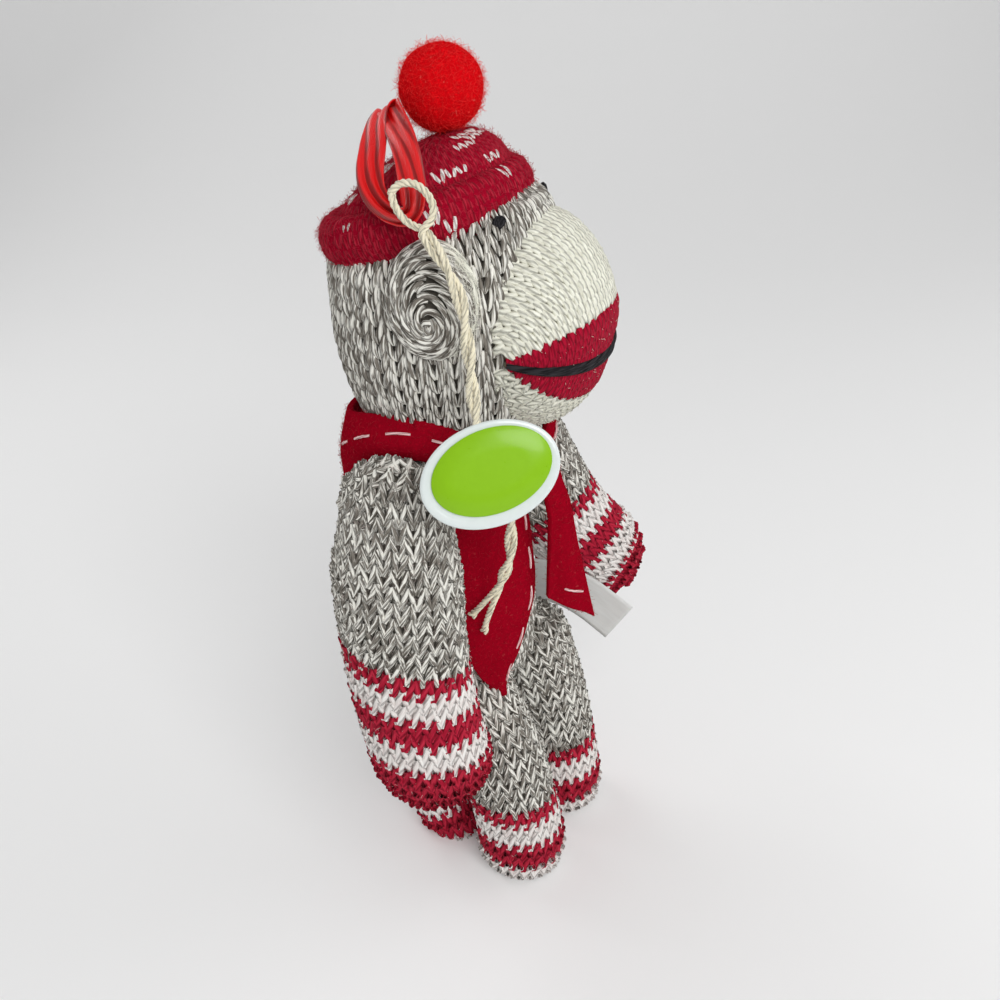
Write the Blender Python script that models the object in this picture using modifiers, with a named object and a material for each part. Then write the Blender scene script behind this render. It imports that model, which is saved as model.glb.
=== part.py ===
"""Knitted sock monkey doll, standing on its feet and its tail.

Each knitted tube, mitt, scarf piece, seam yarn and pad of stuffing is its own
object. Metres, +Z up, the face looks along -Y, and the doll's right is -X.
"""

import bmesh
import bpy
from math import cos, pi, radians, sin, sqrt
from mathutils import Matrix, Vector

MM = 0.001

# Fabrics and clearances
GAP = 0.3 * MM
STUFFING_GAP = 0.4 * MM
KNIT = 1.6 * MM
FINE_KNIT = 1.4 * MM
FELT = 1.2 * MM
YARN = 1.3 * MM
LIMB_SIDES = 14
BODY_SIDES = 18

# Middle of the stance, so that the doll's box is centred on the origin
STANCE_SHIFT_X = -0.8 * MM
STANCE_SHIFT_Y = 3 * MM

# Torso
TORSO_BOTTOM = 46.5 * MM
TORSO_TOP = 104.6 * MM
TORSO_HALF_WIDTH = 17 * MM
TORSO_HALF_DEPTH = 14.5 * MM
TORSO_SETBACK = 1 * MM
TORSO_BULGE_BACK = 2.5 * MM
# height, width, depth and backward bulge, each a share of the sizes above
TORSO_SHARES = (
    (0.00, 0.42, 0.38, 0.1),
    (0.04, 0.66, 0.62, 0.1),
    (0.12, 0.86, 0.82, 0.1),
    (0.25, 0.97, 0.94, 0.3),
    (0.44, 1.00, 1.00, 0.6),
    (0.68, 0.95, 0.94, 1.0),
    (0.84, 0.93, 0.80, 0.9),
    (0.94, 0.82, 0.66, 0.6),
    (0.98, 0.50, 0.54, 0.5),
    (1.00, 0.44, 0.48, 0.32),
)

# Head
HEAD_BOTTOM = 105.4 * MM
HEAD_TOP = 156 * MM
HEAD_HALF_WIDTH = 22.4 * MM
HEAD_HALF_DEPTH = 21.9 * MM
HEAD_SETBACK = 1.8 * MM
HEAD_SHARES = (
    (0.00, 0.36, 0.36, 1.0),
    (0.07, 0.63, 0.64, -0.2),
    (0.21, 0.87, 0.87, -0.2),
    (0.41, 1.00, 0.99, -0.25),
    (0.61, 1.00, 1.00, 0.0),
    (0.75, 0.97, 0.96, 0.3),
    (0.83, 0.89, 0.89, 0.1),
    (0.89, 0.78, 0.80, -0.5),
    (0.94, 0.64, 0.68, -1.0),
    (0.98, 0.40, 0.42, -1.4),
    (1.00, 0.15, 0.15, -1.5),
)
NECK_YARN_DROP = 1 * MM

# Muzzle, measured from the line between the two corners of the mouth
MOUTH_SETBACK = 16.2 * MM
MOUTH_HEIGHT = 129.6 * MM
MUZZLE_HALF_WIDTH = 17.4 * MM
MUZZLE_FRONT = 14.6 * MM
MOUTH_RECESS = 1.3 * MM
MUZZLE_TOP = 21.5 * MM
MUZZLE_BOTTOM = 17.5 * MM
MUZZLE_CORNER = radians(84)
LIP_TOP_ANGLE = radians(12)
MOUTH_ANGLE = radians(-11)
LIP_BOTTOM_ANGLE = radians(-36)
MUZZLE_BACK_ANGLE = radians(118)
MOUTH_LINE_YARN = 1.5 * MM
MOUTH_LINE_SINK = 0.2 * MM

# Eyes and ears
EYE_SIZE = 2.6 * MM
EYE_HALF_DEPTH = 0.7 * MM
EYE_STANDOFF = 1.6 * MM
EYE_SPREAD = 11.3 * MM
EYE_DROP = 4.2 * MM
EYE_HEIGHT = HEAD_TOP - EYE_DROP
EYE_TURN = radians(38)
EAR_HALF_WIDTH = 7.3 * MM
EAR_HALF_HEIGHT = 9.7 * MM
EAR_THICKNESS = 4.2 * MM
EAR_SETBACK = 5.6 * MM
EAR_HEIGHT = 140.8 * MM
EAR_TURN = radians(14)

# Hat and pom-pom
HAT_TILT = radians(15)
BRIM_DROP = 5.6 * MM
BRIM_HEIGHT = HEAD_TOP - BRIM_DROP
BRIM_SETBACK = 3.4 * MM
BRIM_RING = 18.4 * MM
BRIM_THICKNESS = 5.6 * MM
BRIM_DEPTH_SHARE = 0.9
BRIM_ROLL_SHARE = 1.4
POMPOM_RADIUS = 7.2 * MM
POMPOM_RISE = 14.9 * MM
POMPOM_HEIGHT = HEAD_TOP + POMPOM_RISE
POMPOM_SETBACK = -1 * MM

# Ribbon loop, sewn in beside the pom-pom
RIBBON_WIDTH = 5 * MM
RIBBON_THICKNESS = 0.5 * MM
RIBBON_ROUTE = (
    (-5.8, 5.4, 161.6), (-8.4, 6.6, 166.8), (-12.8, 6.6, 168.0), (-17.6, 5.4, 163.6),
    (-21.6, 2.6, 158.8), (-23.9, -1.2, 155.0), (-24.8, -4.2, 153.4), (-24.6, -7.2, 155.2),
    (-22.8, -8.2, 159.6), (-18.6, -6.4, 164.6), (-13.2, -2.6, 168.8), (-9.0, -0.4, 169.4),
)

# String of the hang tag: two strands from a noose round the ribbon's front limb
STRING = 1.6 * MM
STRING_STEP = 2.4
BACK_STRING_ROUTE = (
    (-20.8, -4.7, 158.3), (-21.6, -2.9, 159.7), (-23.6, -2.4, 160.9), (-25.5, -4.2, 161.3),
    (-25.7, -7.6, 160.9), (-25.6, -10.7, 158.9), (-26.4, -11.5, 156.0), (-27.3, -10.4, 153.0),
    (-27.6, -9.2, 149.6), (-27.6, -9.3, 146.4), (-27.5, -11.0, 141.7), (-27.2, -12.3, 135.9),
    (-26.6, -13.1, 129.8), (-25.9, -14.4, 123.9), (-27.4, -15.6, 118.3), (-26.7, -16.5, 111.0),
    (-23.9, -16.8, 104.0), (-20.6, -15.9, 98.2), (-18.9, -14.0, 90.6), (-18.0, -11.4, 83.0),
    (-17.9, -8.8, 75.2),
)
FRONT_STRING_ROUTE = (
    (-20.8, -6.0, 157.0), (-21.5, -9.6, 156.4), (-22.8, -12.3, 155.6), (-24.9, -13.3, 154.0),
    (-26.6, -12.8, 151.2), (-27.3, -11.6, 147.2), (-27.1, -13.2, 141.2), (-26.6, -14.5, 135.6),
    (-26.0, -15.2, 129.6), (-25.2, -16.4, 123.8), (-26.6, -17.5, 118.3), (-25.7, -18.6, 111.0),
    (-22.8, -18.7, 104.2), (-19.4, -17.7, 98.6), (-17.3, -15.8, 91.6), (-16.7, -13.6, 83.6),
    (-16.6, -11.3, 76.0), (-16.6, -9.4, 68.8),
)

# Hang tag, which swings about the place where its noose holds the ribbon
TAG_PIVOT = (-22.8 * MM, -8.2 * MM, 159.6 * MM)
TAG_CENTRE = (-30 * MM, -17.7 * MM, 114.7 * MM)
TAG_HALF_LENGTH = 12.2 * MM
TAG_HALF_HEIGHT = 8.8 * MM
TAG_THICKNESS = 1 * MM
TAG_RIM = 1.7 * MM
TAG_SHIFT = 0.5 * MM
TAG_STICKER = 0.3 * MM
TAG_TURN = radians(-68)
TAG_TILT = radians(20)
TAG_ROLL = radians(19)
TAG_BRIDGE_RISE = 4.6 * MM
TAG_BRIDGE_BAR = 0.8 * MM
TAG_BRIDGE_HEIGHT = 2 * MM
TAG_BRIDGE_WIDTH = 6.4 * MM

# Arms: shoulder point, reach to the finger tips, and the bow between them
SHOULDER_SPREAD = 25.2 * MM
SHOULDER_SETBACK = 3 * MM
SHOULDER_HEIGHT = 103 * MM
SHOULDER_RADIUS = 8.2 * MM
SHOULDER_HALF_DEPTH = 10.2 * MM
ARM_HALF_THICKNESS = 9.5 * MM
ARM_HALF_DEPTH = 12.4 * MM
HAND_ROUNDING = 12 * MM
RIGHT_ARM_REACH = (-5 * MM, -6 * MM, -65 * MM)
RIGHT_ARM_BOW = (-1.6 * MM, 2.6 * MM, 0)
LEFT_ARM_REACH = (8.6 * MM, -30 * MM, -46 * MM)
LEFT_ARM_BOW = (0.4 * MM, 3.4 * MM, -7 * MM)
ARM_CUFF_SHARE = 0.47
LEFT_ARM_HALF_DEPTH = 11.4 * MM
SHOULDER_YARN_RING = 5.6 * MM

# Legs
HIP_SPREAD = 10 * MM
HIP_SETBACK = -5 * MM
HIP_TWIST = 3.5 * MM
HIP_HEIGHT = 48 * MM
HIP_RADIUS = 9 * MM
LEG_HALF_WIDTH = 9.3 * MM
LEG_HALF_DEPTH = 9.5 * MM
FOOT_SPREAD = 11 * MM
RIGHT_FOOT_SETBACK = -12 * MM
LEFT_FOOT_SETBACK = -14.2 * MM
FOOT_ROUNDING = 9 * MM
SOLE_SHARE = 0.5
LEG_CUFF_SHARE = 0.55
LEG_RAISE = radians(75)

# Tail
TAIL_ROOT = (-2 * MM, 14 * MM, 50 * MM)
TAIL_TIP_SETBACK = 5.8 * MM
TAIL_TIP_SIDE = -6.6 * MM
TAIL_RADIUS = 6.9 * MM
TAIL_ROOT_RADIUS = 6 * MM
TAIL_BOW = 5 * MM
TAIL_ROUNDING = 7 * MM
TAIL_SOLE_SHARE = 0.55
TAIL_CUFF_SHARE = 0.5

# Scarf
COLLAR_HALF_WIDTH = 21.9 * MM
COLLAR_FRONT = -17 * MM
COLLAR_BACK = 24.2 * MM
COLLAR_FRONT_HEIGHTS = (97.6 * MM, 107 * MM)
COLLAR_SIDE_HEIGHTS = (112.3 * MM, 116.6 * MM)
COLLAR_BACK_HEIGHTS = (87 * MM, 112 * MM)
SCARF_LIFT_HEIGHT = 97 * MM
LONG_TAIL_SPAN = (-13 * MM, 1.4 * MM)
LONG_TAIL_END = 49.4 * MM
LONG_TAIL_TIP_SIDE = -11.4 * MM
SHORT_TAIL_SPAN = (2.4 * MM, 13 * MM)
SHORT_TAIL_END = 58.8 * MM
SHORT_TAIL_FLARE = 1.4 * MM
SCARF_STANDOFF_END = 3.4 * MM
SCARF_HANG_HEIGHT = 66 * MM
SHORT_TAIL_STANDOFF_END = 7.5 * MM
STITCH_THREAD = 0.8 * MM
STITCH_LENGTH = 4.4 * MM

# Care label, sewn in the left side seam
LABEL_THICKNESS = 0.5 * MM
LABEL_WIDTH = 12 * MM
LABEL_HEIGHT = 57.6 * MM
LABEL_SETBACK = 2 * MM
LABEL_OUT = 4.3 * MM
LABEL_REACH = 28.8 * MM
LABEL_DROP = 8.8 * MM
# how far the label has gone out, forward and down at points along it
LABEL_SHARES = ((0, 0, 0), (0.65, 0.24, -0.07), (0.92, 0.49, 0.02), (0.98, 0.73, 0.36),
                (1, 1, 1))
LABEL_LEAN_SHARES = (0.0, 0.65)


def clear_scene():
    for item in list(bpy.data.objects):
        bpy.data.objects.remove(item, do_unlink=True)


def new_collection(name):
    collection = bpy.data.collections.new(name)
    bpy.context.scene.collection.children.link(collection)
    return collection


def new_material(name, colour, roughness, metallic=0.0):
    material = bpy.data.materials.new(name)
    material.use_nodes = True
    shader = material.node_tree.nodes["Principled BSDF"]
    shader.inputs["Base Color"].default_value = (*colour, 1)
    shader.inputs["Roughness"].default_value = roughness
    shader.inputs["Metallic"].default_value = metallic
    return material


MARL = ((0.36, 0.33, 0.30), 0.95)
CREAM = ((0.84, 0.80, 0.68), 0.95)
CRIMSON = ((0.36, 0.012, 0.03), 0.95)
FELT_RED = ((0.38, 0.008, 0.02), 0.95)
POMPOM_RED = ((0.78, 0.01, 0.012), 0.95)
SATIN_RED = ((0.62, 0.006, 0.01), 0.35)
BLACK = ((0.012, 0.011, 0.011), 0.8)
FILLING = ((0.86, 0.85, 0.82), 1.0)
TAG_WHITE = ((0.86, 0.87, 0.86), 0.25)
TAG_GREEN = ((0.27, 0.52, 0.01), 0.3)
SATIN_WHITE = ((0.85, 0.85, 0.83), 0.4)
PALE_THREAD = ((0.82, 0.55, 0.55), 0.8)


class Doll:
    """Holds the collections and the joint empties while the doll is built."""

    def __init__(self):
        self.parts = new_collection("sock_monkey_doll")
        self.guides = new_collection("guides")
        self.root = self.empty("doll", Vector((0, 0, 0)), None)
        self.root.location = (STANCE_SHIFT_X, STANCE_SHIFT_Y, 0)

    def empty(self, name, place, parent):
        item = bpy.data.objects.new(name, None)
        item["place"] = tuple(place)
        self.parts.objects.link(item)
        if parent:
            item.parent = parent
            item.location = place - Vector(parent["place"])
        return item

    def add(self, name, mesh, finish, pivot, smooth=True):
        """Turn a mesh in doll coordinates into an object with its origin on the pivot."""
        mesh.transform(Matrix.Translation(-Vector(pivot["place"])))
        item = bpy.data.objects.new(name, mesh)
        item.parent = pivot
        mesh.materials.append(new_material(name, *finish))
        if smooth:
            mesh.shade_smooth()
            mesh.set_sharp_from_angle(angle=radians(50))
        self.parts.objects.link(item)
        return item

    def guide(self, name, mesh):
        item = bpy.data.objects.new(name, mesh)
        item.parent = self.root
        item.hide_render = True
        item.display_type = "WIRE"
        self.guides.objects.link(item)
        return item


def mesh_from(name, bm):
    bmesh.ops.recalc_face_normals(bm, faces=bm.faces)
    mesh = bpy.data.meshes.new(name)
    bm.to_mesh(mesh)
    bm.free()
    return mesh


def loft(name, rings, cap_start=True, cap_end=True):
    """Skin a list of rings of points, which all have the same number of points."""
    bm = bmesh.new()
    rows = [[bm.verts.new(point) for point in ring] for ring in rings]
    for row, following in zip(rows, rows[1:]):
        for i in range(len(row)):
            j = (i + 1) % len(row)
            bm.faces.new((row[i], row[j], following[j], following[i]))
    if cap_start:
        bm.faces.new(rows[0])
    if cap_end:
        bm.faces.new(rows[-1])
    return mesh_from(name, bm)


def sheet(name, rows):
    """Skin an open grid of points."""
    bm = bmesh.new()
    grid = [[bm.verts.new(point) for point in row] for row in rows]
    for row, following in zip(grid, grid[1:]):
        for i in range(len(row) - 1):
            bm.faces.new((row[i], row[i + 1], following[i + 1], following[i]))
    return mesh_from(name, bm)


def thicken(item, thickness, offset=-1.0):
    solidify = item.modifiers.new("wall", "SOLIDIFY")
    solidify.thickness = thickness
    solidify.offset = offset
    solidify.use_even_offset = True
    return item


def cut(item, *cutters):
    for cutter in cutters:
        boolean = item.modifiers.new(cutter.name, "BOOLEAN")
        boolean.operation = "DIFFERENCE"
        boolean.solver = "EXACT"
        boolean.object = cutter
    return item


def join_to(item, other):
    boolean = item.modifiers.new(other.name, "BOOLEAN")
    boolean.operation = "UNION"
    boolean.solver = "EXACT"
    boolean.object = other
    return item


def ellipse(centre, side, front, count):
    """Points round an ellipse whose half axes are the vectors side and front."""
    turns = [2 * pi * i / count for i in range(count)]
    return [centre + side * cos(turn) + front * sin(turn) for turn in turns]


def blend(shares, height, column):
    """Read one column of a table of shares at a height from 0 to 1."""
    for low, high in zip(shares, shares[1:]):
        if height <= high[0]:
            part = (height - low[0]) / (high[0] - low[0])
            return low[column] + (high[column] - low[column]) * part
    return shares[-1][column]


class Barrel:
    """A stuffed form with level elliptical sections, such as the torso or the head."""

    def __init__(self, shares, bottom, top, half_width, half_depth, middle, bulge):
        self.shares = shares
        self.bottom = bottom
        self.top = top
        self.half_width = half_width
        self.half_depth = half_depth
        self.middle = middle
        self.bulge = bulge

    def section(self, height):
        """Return the setback and the half width and depth at a height above the ground."""
        share = min(max((height - self.bottom) / (self.top - self.bottom), 0), 1)
        width = self.half_width * blend(self.shares, share, 1)
        depth = self.half_depth * blend(self.shares, share, 2)
        return self.middle + self.bulge * blend(self.shares, share, 3), width, depth

    def rings(self, growth=0.0, sides=BODY_SIDES, ends=0.0):
        rings = []
        for share, wide, deep, back in self.shares:
            height = self.bottom - ends + (self.top - self.bottom + 2 * ends) * share
            centre = Vector((0, self.middle + self.bulge * back, height))
            side = Vector((self.half_width * wide + growth, 0, 0))
            front = Vector((0, self.half_depth * deep + growth, 0))
            rings.append(ellipse(centre, side, front, sides))
        return rings

    def front_at(self, side, height, standoff):
        """Return the point in front of the form, a standoff away from its surface."""
        back, width, depth = self.section(height)
        share = min(abs(side) / (width + standoff), 0.96)
        return Vector((side, back - (depth + standoff) * sqrt(1 - share * share), height))


class Limb:
    """A stuffed tube with a ball at its root and a rounded end."""

    def __init__(self, root, reach, bow, root_sizes, sizes, rounding, sole_share=0.0,
                 growth=0.0, sides=LIMB_SIDES):
        self.root = Vector(root)
        self.reach = Vector(reach)
        self.bow = Vector(bow)
        self.root_sizes = root_sizes
        self.sizes = sizes
        self.rounding = rounding
        self.sole_share = sole_share
        self.growth = growth
        self.sides = sides
        self.stands = abs((self.root + self.reach).z) < GAP
        self.length = self.reach.length
        self.ball = root_sizes[0] + growth
        self.start = -self.ball * cos(radians(ROOT_TURNS[0])) / self.length
        tip_length = (self.reach - self.bow * 4).length
        self.tip = 1 + growth / tip_length
        self.tip_start = 1 - rounding / tip_length

    def grown(self, growth, sides=LIMB_SIDES):
        """The same limb with its surface moved out, or in for a negative growth."""
        return Limb(self.root, self.reach, self.bow, self.root_sizes, self.sizes,
                    self.rounding, self.sole_share, growth, sides)

    def ring(self, share):
        """A ring at a share of the reach; shares below 0 lie in the ball at the root."""
        bend = max(share, 0)
        along = (self.reach + self.bow * (4 * (1 - 2 * bend))).normalized()
        centre = self.root + self.reach * bend + self.bow * (4 * bend * (1 - bend))
        centre += along * (self.length * (share - bend))
        side = (Vector((1, 0, 0)) - along * along.x).normalized()
        front = along.cross(side)
        swell = min(max(share / ROOT_SWELL_SHARE, 0), 1)
        swell = swell * swell * (3 - 2 * swell)
        half = [a + (b - a) * swell + self.growth
                for a, b in zip(self.root_sizes, self.sizes)]
        scale = 1.0
        if share < 0:
            scale = sqrt(max(0, 1 - (share * self.length / self.ball) ** 2))
        if share > self.tip_start:
            turn = (share - self.tip_start) / (self.tip - self.tip_start)
            scale = self.sole_share + (1 - self.sole_share) * sqrt(max(0, 1 - turn * turn))
            if self.stands:
                along = along.lerp(Vector((0, 0, -1)), turn).normalized()
                side = (Vector((1, 0, 0)) - along * along.x).normalized()
                front = along.cross(side)
        return ellipse(centre, side * (half[0] * scale), front * (half[1] * scale),
                       self.sides)

    def rings(self, start=None, end=None):
        """Rings between two shares, from pole to tip where a share isn't given."""
        start = self.start if start is None else start
        end = self.tip if end is None else end
        places = [-self.ball / self.length * cos(radians(turn)) for turn in ROOT_TURNS]
        places += [self.tip_start * i / TUBE_RINGS for i in range(TUBE_RINGS + 1)]
        places += [self.tip_start + (self.tip - self.tip_start) * sin(radians(turn))
                   for turn in TIP_TURNS]
        inside = [place for place in places if start + EDGE_SHARE < place < end - EDGE_SHARE]
        return [self.ring(share) for share in [start] + inside + [end]]


ROOT_SWELL_SHARE = 0.25
ROOT_TURNS = (12, 32, 52, 72)
TIP_TURNS = (30, 54, 74, 86)
TUBE_RINGS = 6
EDGE_SHARE = 0.012


def torso_form():
    return Barrel(TORSO_SHARES, TORSO_BOTTOM, TORSO_TOP, TORSO_HALF_WIDTH, TORSO_HALF_DEPTH,
                  TORSO_SETBACK, TORSO_BULGE_BACK)


def head_form():
    return Barrel(HEAD_SHARES, HEAD_BOTTOM, HEAD_TOP, HEAD_HALF_WIDTH, HEAD_HALF_DEPTH,
                  0, HEAD_SETBACK)


def leg_form(side, foot_setback):
    root = Vector((side * HIP_SPREAD, HIP_SETBACK - side * HIP_TWIST, HIP_HEIGHT))
    foot = Vector((side * FOOT_SPREAD, foot_setback, 0))
    reach = foot - root
    bow = Vector((reach.x / 4, reach.y / 4, 0))
    return Limb(root, reach, bow, (HIP_RADIUS, HIP_RADIUS), (LEG_HALF_WIDTH, LEG_HALF_DEPTH),
                FOOT_ROUNDING, SOLE_SHARE)


def arm_form(side, reach, bow, half_depth):
    root = Vector((side * SHOULDER_SPREAD, SHOULDER_SETBACK, SHOULDER_HEIGHT))
    return Limb(root, reach, bow, (SHOULDER_RADIUS, SHOULDER_HALF_DEPTH),
                (ARM_HALF_THICKNESS, half_depth), HAND_ROUNDING, HAND_TIP_SHARE)


def tail_form():
    root = Vector(TAIL_ROOT)
    tip = Vector((TAIL_TIP_SIDE, TAIL_TIP_SETBACK, 0))
    reach = tip - root
    bow = Vector((reach.x / 4, TAIL_BOW, 0))
    return Limb(root, reach, bow, (TAIL_ROOT_RADIUS, TAIL_ROOT_RADIUS),
                (TAIL_RADIUS, TAIL_RADIUS), TAIL_ROUNDING, TAIL_SOLE_SHARE)


HAND_TIP_SHARE = 0.22


def make_limb(doll, pivot, limb, names, cuff_share):
    """Make the marl sleeve, the striped end and the stuffing of one limb."""
    sleeve_name, end_name, stuffing_name = names
    half_seam = GAP / 2 / limb.length
    rings = limb.rings(end=cuff_share - half_seam)
    sleeve = doll.add(sleeve_name, loft(sleeve_name, rings, cap_end=False), MARL, pivot)
    thicken(sleeve, KNIT)
    rings = limb.rings(start=cuff_share + half_seam)
    end = doll.add(end_name, loft(end_name, rings, cap_start=False), CRIMSON, pivot)
    thicken(end, KNIT)
    rings = limb.grown(-KNIT - STUFFING_GAP).rings()
    doll.add(stuffing_name, loft(stuffing_name, rings), FILLING, pivot)


def yarn_ring(name, centre, axis, radius, thickness, sides=16):
    """A closed ring of yarn round an axis."""
    bpy.ops.mesh.primitive_torus_add(
        major_segments=sides, minor_segments=6, major_radius=radius,
        minor_radius=thickness / 2)
    item = bpy.context.object
    mesh = item.data
    bpy.data.objects.remove(item)
    turn = Vector((0, 0, 1)).rotation_difference(axis).to_matrix().to_4x4()
    mesh.transform(Matrix.Translation(centre) @ turn)
    mesh.name = name
    return mesh


def ball(name, centre, sizes, segments=12, rings=8):
    bm = bmesh.new()
    bmesh.ops.create_uvsphere(bm, u_segments=segments, v_segments=rings, radius=1)
    scale = Matrix.Diagonal((*sizes, 1))
    bmesh.ops.transform(bm, matrix=Matrix.Translation(centre) @ scale, verts=bm.verts)
    return mesh_from(name, bm)


def in_millimetres(route):
    return [Vector(point) * MM for point in route]


def smooth_route(route, step):
    """Read points at an even step from a smooth curve through a route."""
    points = [Vector(point) for point in route]
    ends = [2 * points[0] - points[1]] + points + [2 * points[-1] - points[-2]]
    fine = []
    for a, b, c, d in zip(ends, ends[1:], ends[2:], ends[3:]):
        for i in range(SPLINE_STEPS):
            t = i / SPLINE_STEPS
            fine.append(0.5 * (2 * b + (c - a) * t + (2 * a - 5 * b + 4 * c - d) * t ** 2
                               + (3 * b - a - 3 * c + d) * t ** 3))
    fine.append(points[-1])
    total = sum((q - p).length for p, q in zip(fine, fine[1:]))
    count = max(2, round(total / step))
    marks, travelled, wanted = [fine[0]], 0.0, total / count
    for p, q in zip(fine, fine[1:]):
        length = (q - p).length
        while travelled + length >= wanted and len(marks) < count:
            marks.append(p.lerp(q, (wanted - travelled) / length))
            wanted += total / count
        travelled += length
    return marks + [fine[-1]]


SPLINE_STEPS = 16


def tube(name, points, thickness, resolution=2):
    """A round tube along points, welded to one closed mesh."""
    curve = bpy.data.curves.new(name, "CURVE")
    curve.dimensions = "3D"
    curve.bevel_depth = thickness / 2
    curve.bevel_resolution = resolution
    curve.use_fill_caps = True
    spline = curve.splines.new("POLY")
    spline.points.add(len(points) - 1)
    for knot, point in zip(spline.points, points):
        knot.co = (*point, 1)
    item = bpy.data.objects.new(name, curve)
    bpy.context.scene.collection.objects.link(item)
    bpy.context.view_layer.update()
    graph = bpy.context.evaluated_depsgraph_get()
    mesh = bpy.data.meshes.new_from_object(item.evaluated_get(graph))
    bpy.data.objects.remove(item)
    bm = bmesh.new()
    bm.from_mesh(mesh)
    bmesh.ops.remove_doubles(bm, verts=bm.verts, dist=WELD)
    bpy.data.meshes.remove(mesh)
    return mesh_from(name, bm)


WELD = 0.01 * MM


def make_torso(doll, pivot, torso, hips, tail):
    sockets = []
    for name, limb in hips:
        mesh = loft(name, limb.grown(SOCKET_GAP, SOCKET_SIDES).rings(end=SOCKET_REACH_SHARE))
        turn = Matrix.Rotation(-LEG_RAISE, 4, "X")
        mesh.transform(Matrix.Translation(limb.root) @ turn @ Matrix.Translation(-limb.root))
        sockets.append(doll.guide(name, mesh))
    root = TAIL_ROOT_RADIUS + SOCKET_GAP
    sockets.append(doll.guide("tail_socket", ball("tail_socket", tail.root, (root,) * 3,
                                                       SOCKET_SIDES, SOCKET_SIDES // 2)))
    shell = doll.add("torso_shell", loft("torso_shell", torso.rings(), cap_end=False),
                     MARL, pivot)
    thicken(shell, KNIT)
    cut(shell, *sockets)
    inset = KNIT + STUFFING_GAP
    stuffing = doll.add("torso_stuffing", loft("torso_stuffing", torso.rings(-inset, ends=-inset)),
                        FILLING, pivot)
    cut(stuffing, *sockets)


SOCKET_GAP = 0.6 * MM
SOCKET_REACH_SHARE = 0.6
SOCKET_SIDES = 28


def make_head(doll, pivot, head, torso):
    shell = doll.add("head_shell", loft("head_shell", head.rings(), cap_start=False),
                     MARL, pivot)
    thicken(shell, KNIT)
    inset = KNIT + STUFFING_GAP
    doll.add("head_stuffing", loft("head_stuffing", head.rings(-inset, ends=-inset)),
             FILLING, pivot)
    centre = Vector((0, HEAD_SETBACK, HEAD_BOTTOM - NECK_YARN_DROP))
    radius = torso.section(centre.z - YARN / 2)[1] + GAP + YARN / 2
    ring = yarn_ring("neck_yarn", centre, Vector((0, 0, 1)), radius, YARN)
    doll.add("neck_yarn", ring, MARL, pivot)


def muzzle_point(angle, sweep, growth):
    """A point of the muzzle: angle turns up from the front, sweep goes from side to side."""
    height = MUZZLE_TOP if angle > 0 else MUZZLE_BOTTOM
    sink = min(max((LIP_TOP_ANGLE - angle) / (LIP_TOP_ANGLE - MOUTH_ANGLE), 0), 1)
    front = MUZZLE_FRONT - MOUTH_RECESS * sink
    ahead = (front + growth) * cos(angle) * cos(sweep)
    rise = (height + growth) * sin(angle) * cos(sweep)
    side = (MUZZLE_HALF_WIDTH + growth) * sin(sweep)
    return Vector((side, -MOUTH_SETBACK - ahead, MOUTH_HEIGHT + rise))


def muzzle_rows(start, end, start_seam, end_seam, rows, columns):
    """A strip of the muzzle between two angles, less half a seam's width at each side."""
    grid = []
    for i in range(rows + 1):
        line = []
        for j in range(columns + 1):
            sweep = MUZZLE_CORNER * (2 * j / columns - 1)
            arm = MUZZLE_FRONT * max(cos(sweep), NARROWEST_SEAM_SHARE)
            low, high = start + start_seam / arm, end - end_seam / arm
            line.append(muzzle_point(low + (high - low) * i / rows, sweep, 0))
        grid.append(line)
    return grid


NARROWEST_SEAM_SHARE = 0.3


def make_muzzle(doll, pivot, head_guide):
    seam, mouth = GAP / 2, GAP + MOUTH_LINE_YARN / 2
    zones = (
        ("muzzle_top", LIP_TOP_ANGLE, MUZZLE_BACK_ANGLE, seam, 0, 8, CREAM),
        ("upper_lip", MOUTH_ANGLE, LIP_TOP_ANGLE, mouth, seam, 3, CRIMSON),
        ("lower_lip", LIP_BOTTOM_ANGLE, MOUTH_ANGLE, seam, mouth, 3, CRIMSON),
        ("chin", -MUZZLE_BACK_ANGLE, LIP_BOTTOM_ANGLE, 0, seam, 8, CREAM),
    )
    for name, start, end, below, above, rows, finish in zones:
        grid = muzzle_rows(start, end, below, above, rows, MUZZLE_COLUMNS)
        item = doll.add(name, sheet(name, grid), finish, pivot)
        thicken(item, FINE_KNIT)
        cut(item, head_guide)
    inset = FINE_KNIT + STUFFING_GAP
    centre = Vector((0, -MOUTH_SETBACK, MOUTH_HEIGHT))
    sizes = (MUZZLE_HALF_WIDTH - inset, MUZZLE_FRONT - MOUTH_RECESS - inset,
             MUZZLE_BOTTOM - inset)
    stuffing = doll.add("muzzle_stuffing", ball("muzzle_stuffing", centre, sizes, 16, 10),
                        FILLING, pivot)
    cut(stuffing, head_guide)
    sweeps = [MUZZLE_CORNER * MOUTH_LINE_SHARE * (i / 8 - 1) for i in range(17)]
    line = tube("mouth_line", [muzzle_point(MOUTH_ANGLE, sweep, -MOUTH_LINE_SINK)
                               for sweep in sweeps], MOUTH_LINE_YARN)
    doll.add("mouth_line", line, BLACK, pivot)


MOUTH_LINE_SHARE = 0.84
MUZZLE_COLUMNS = 12


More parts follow.
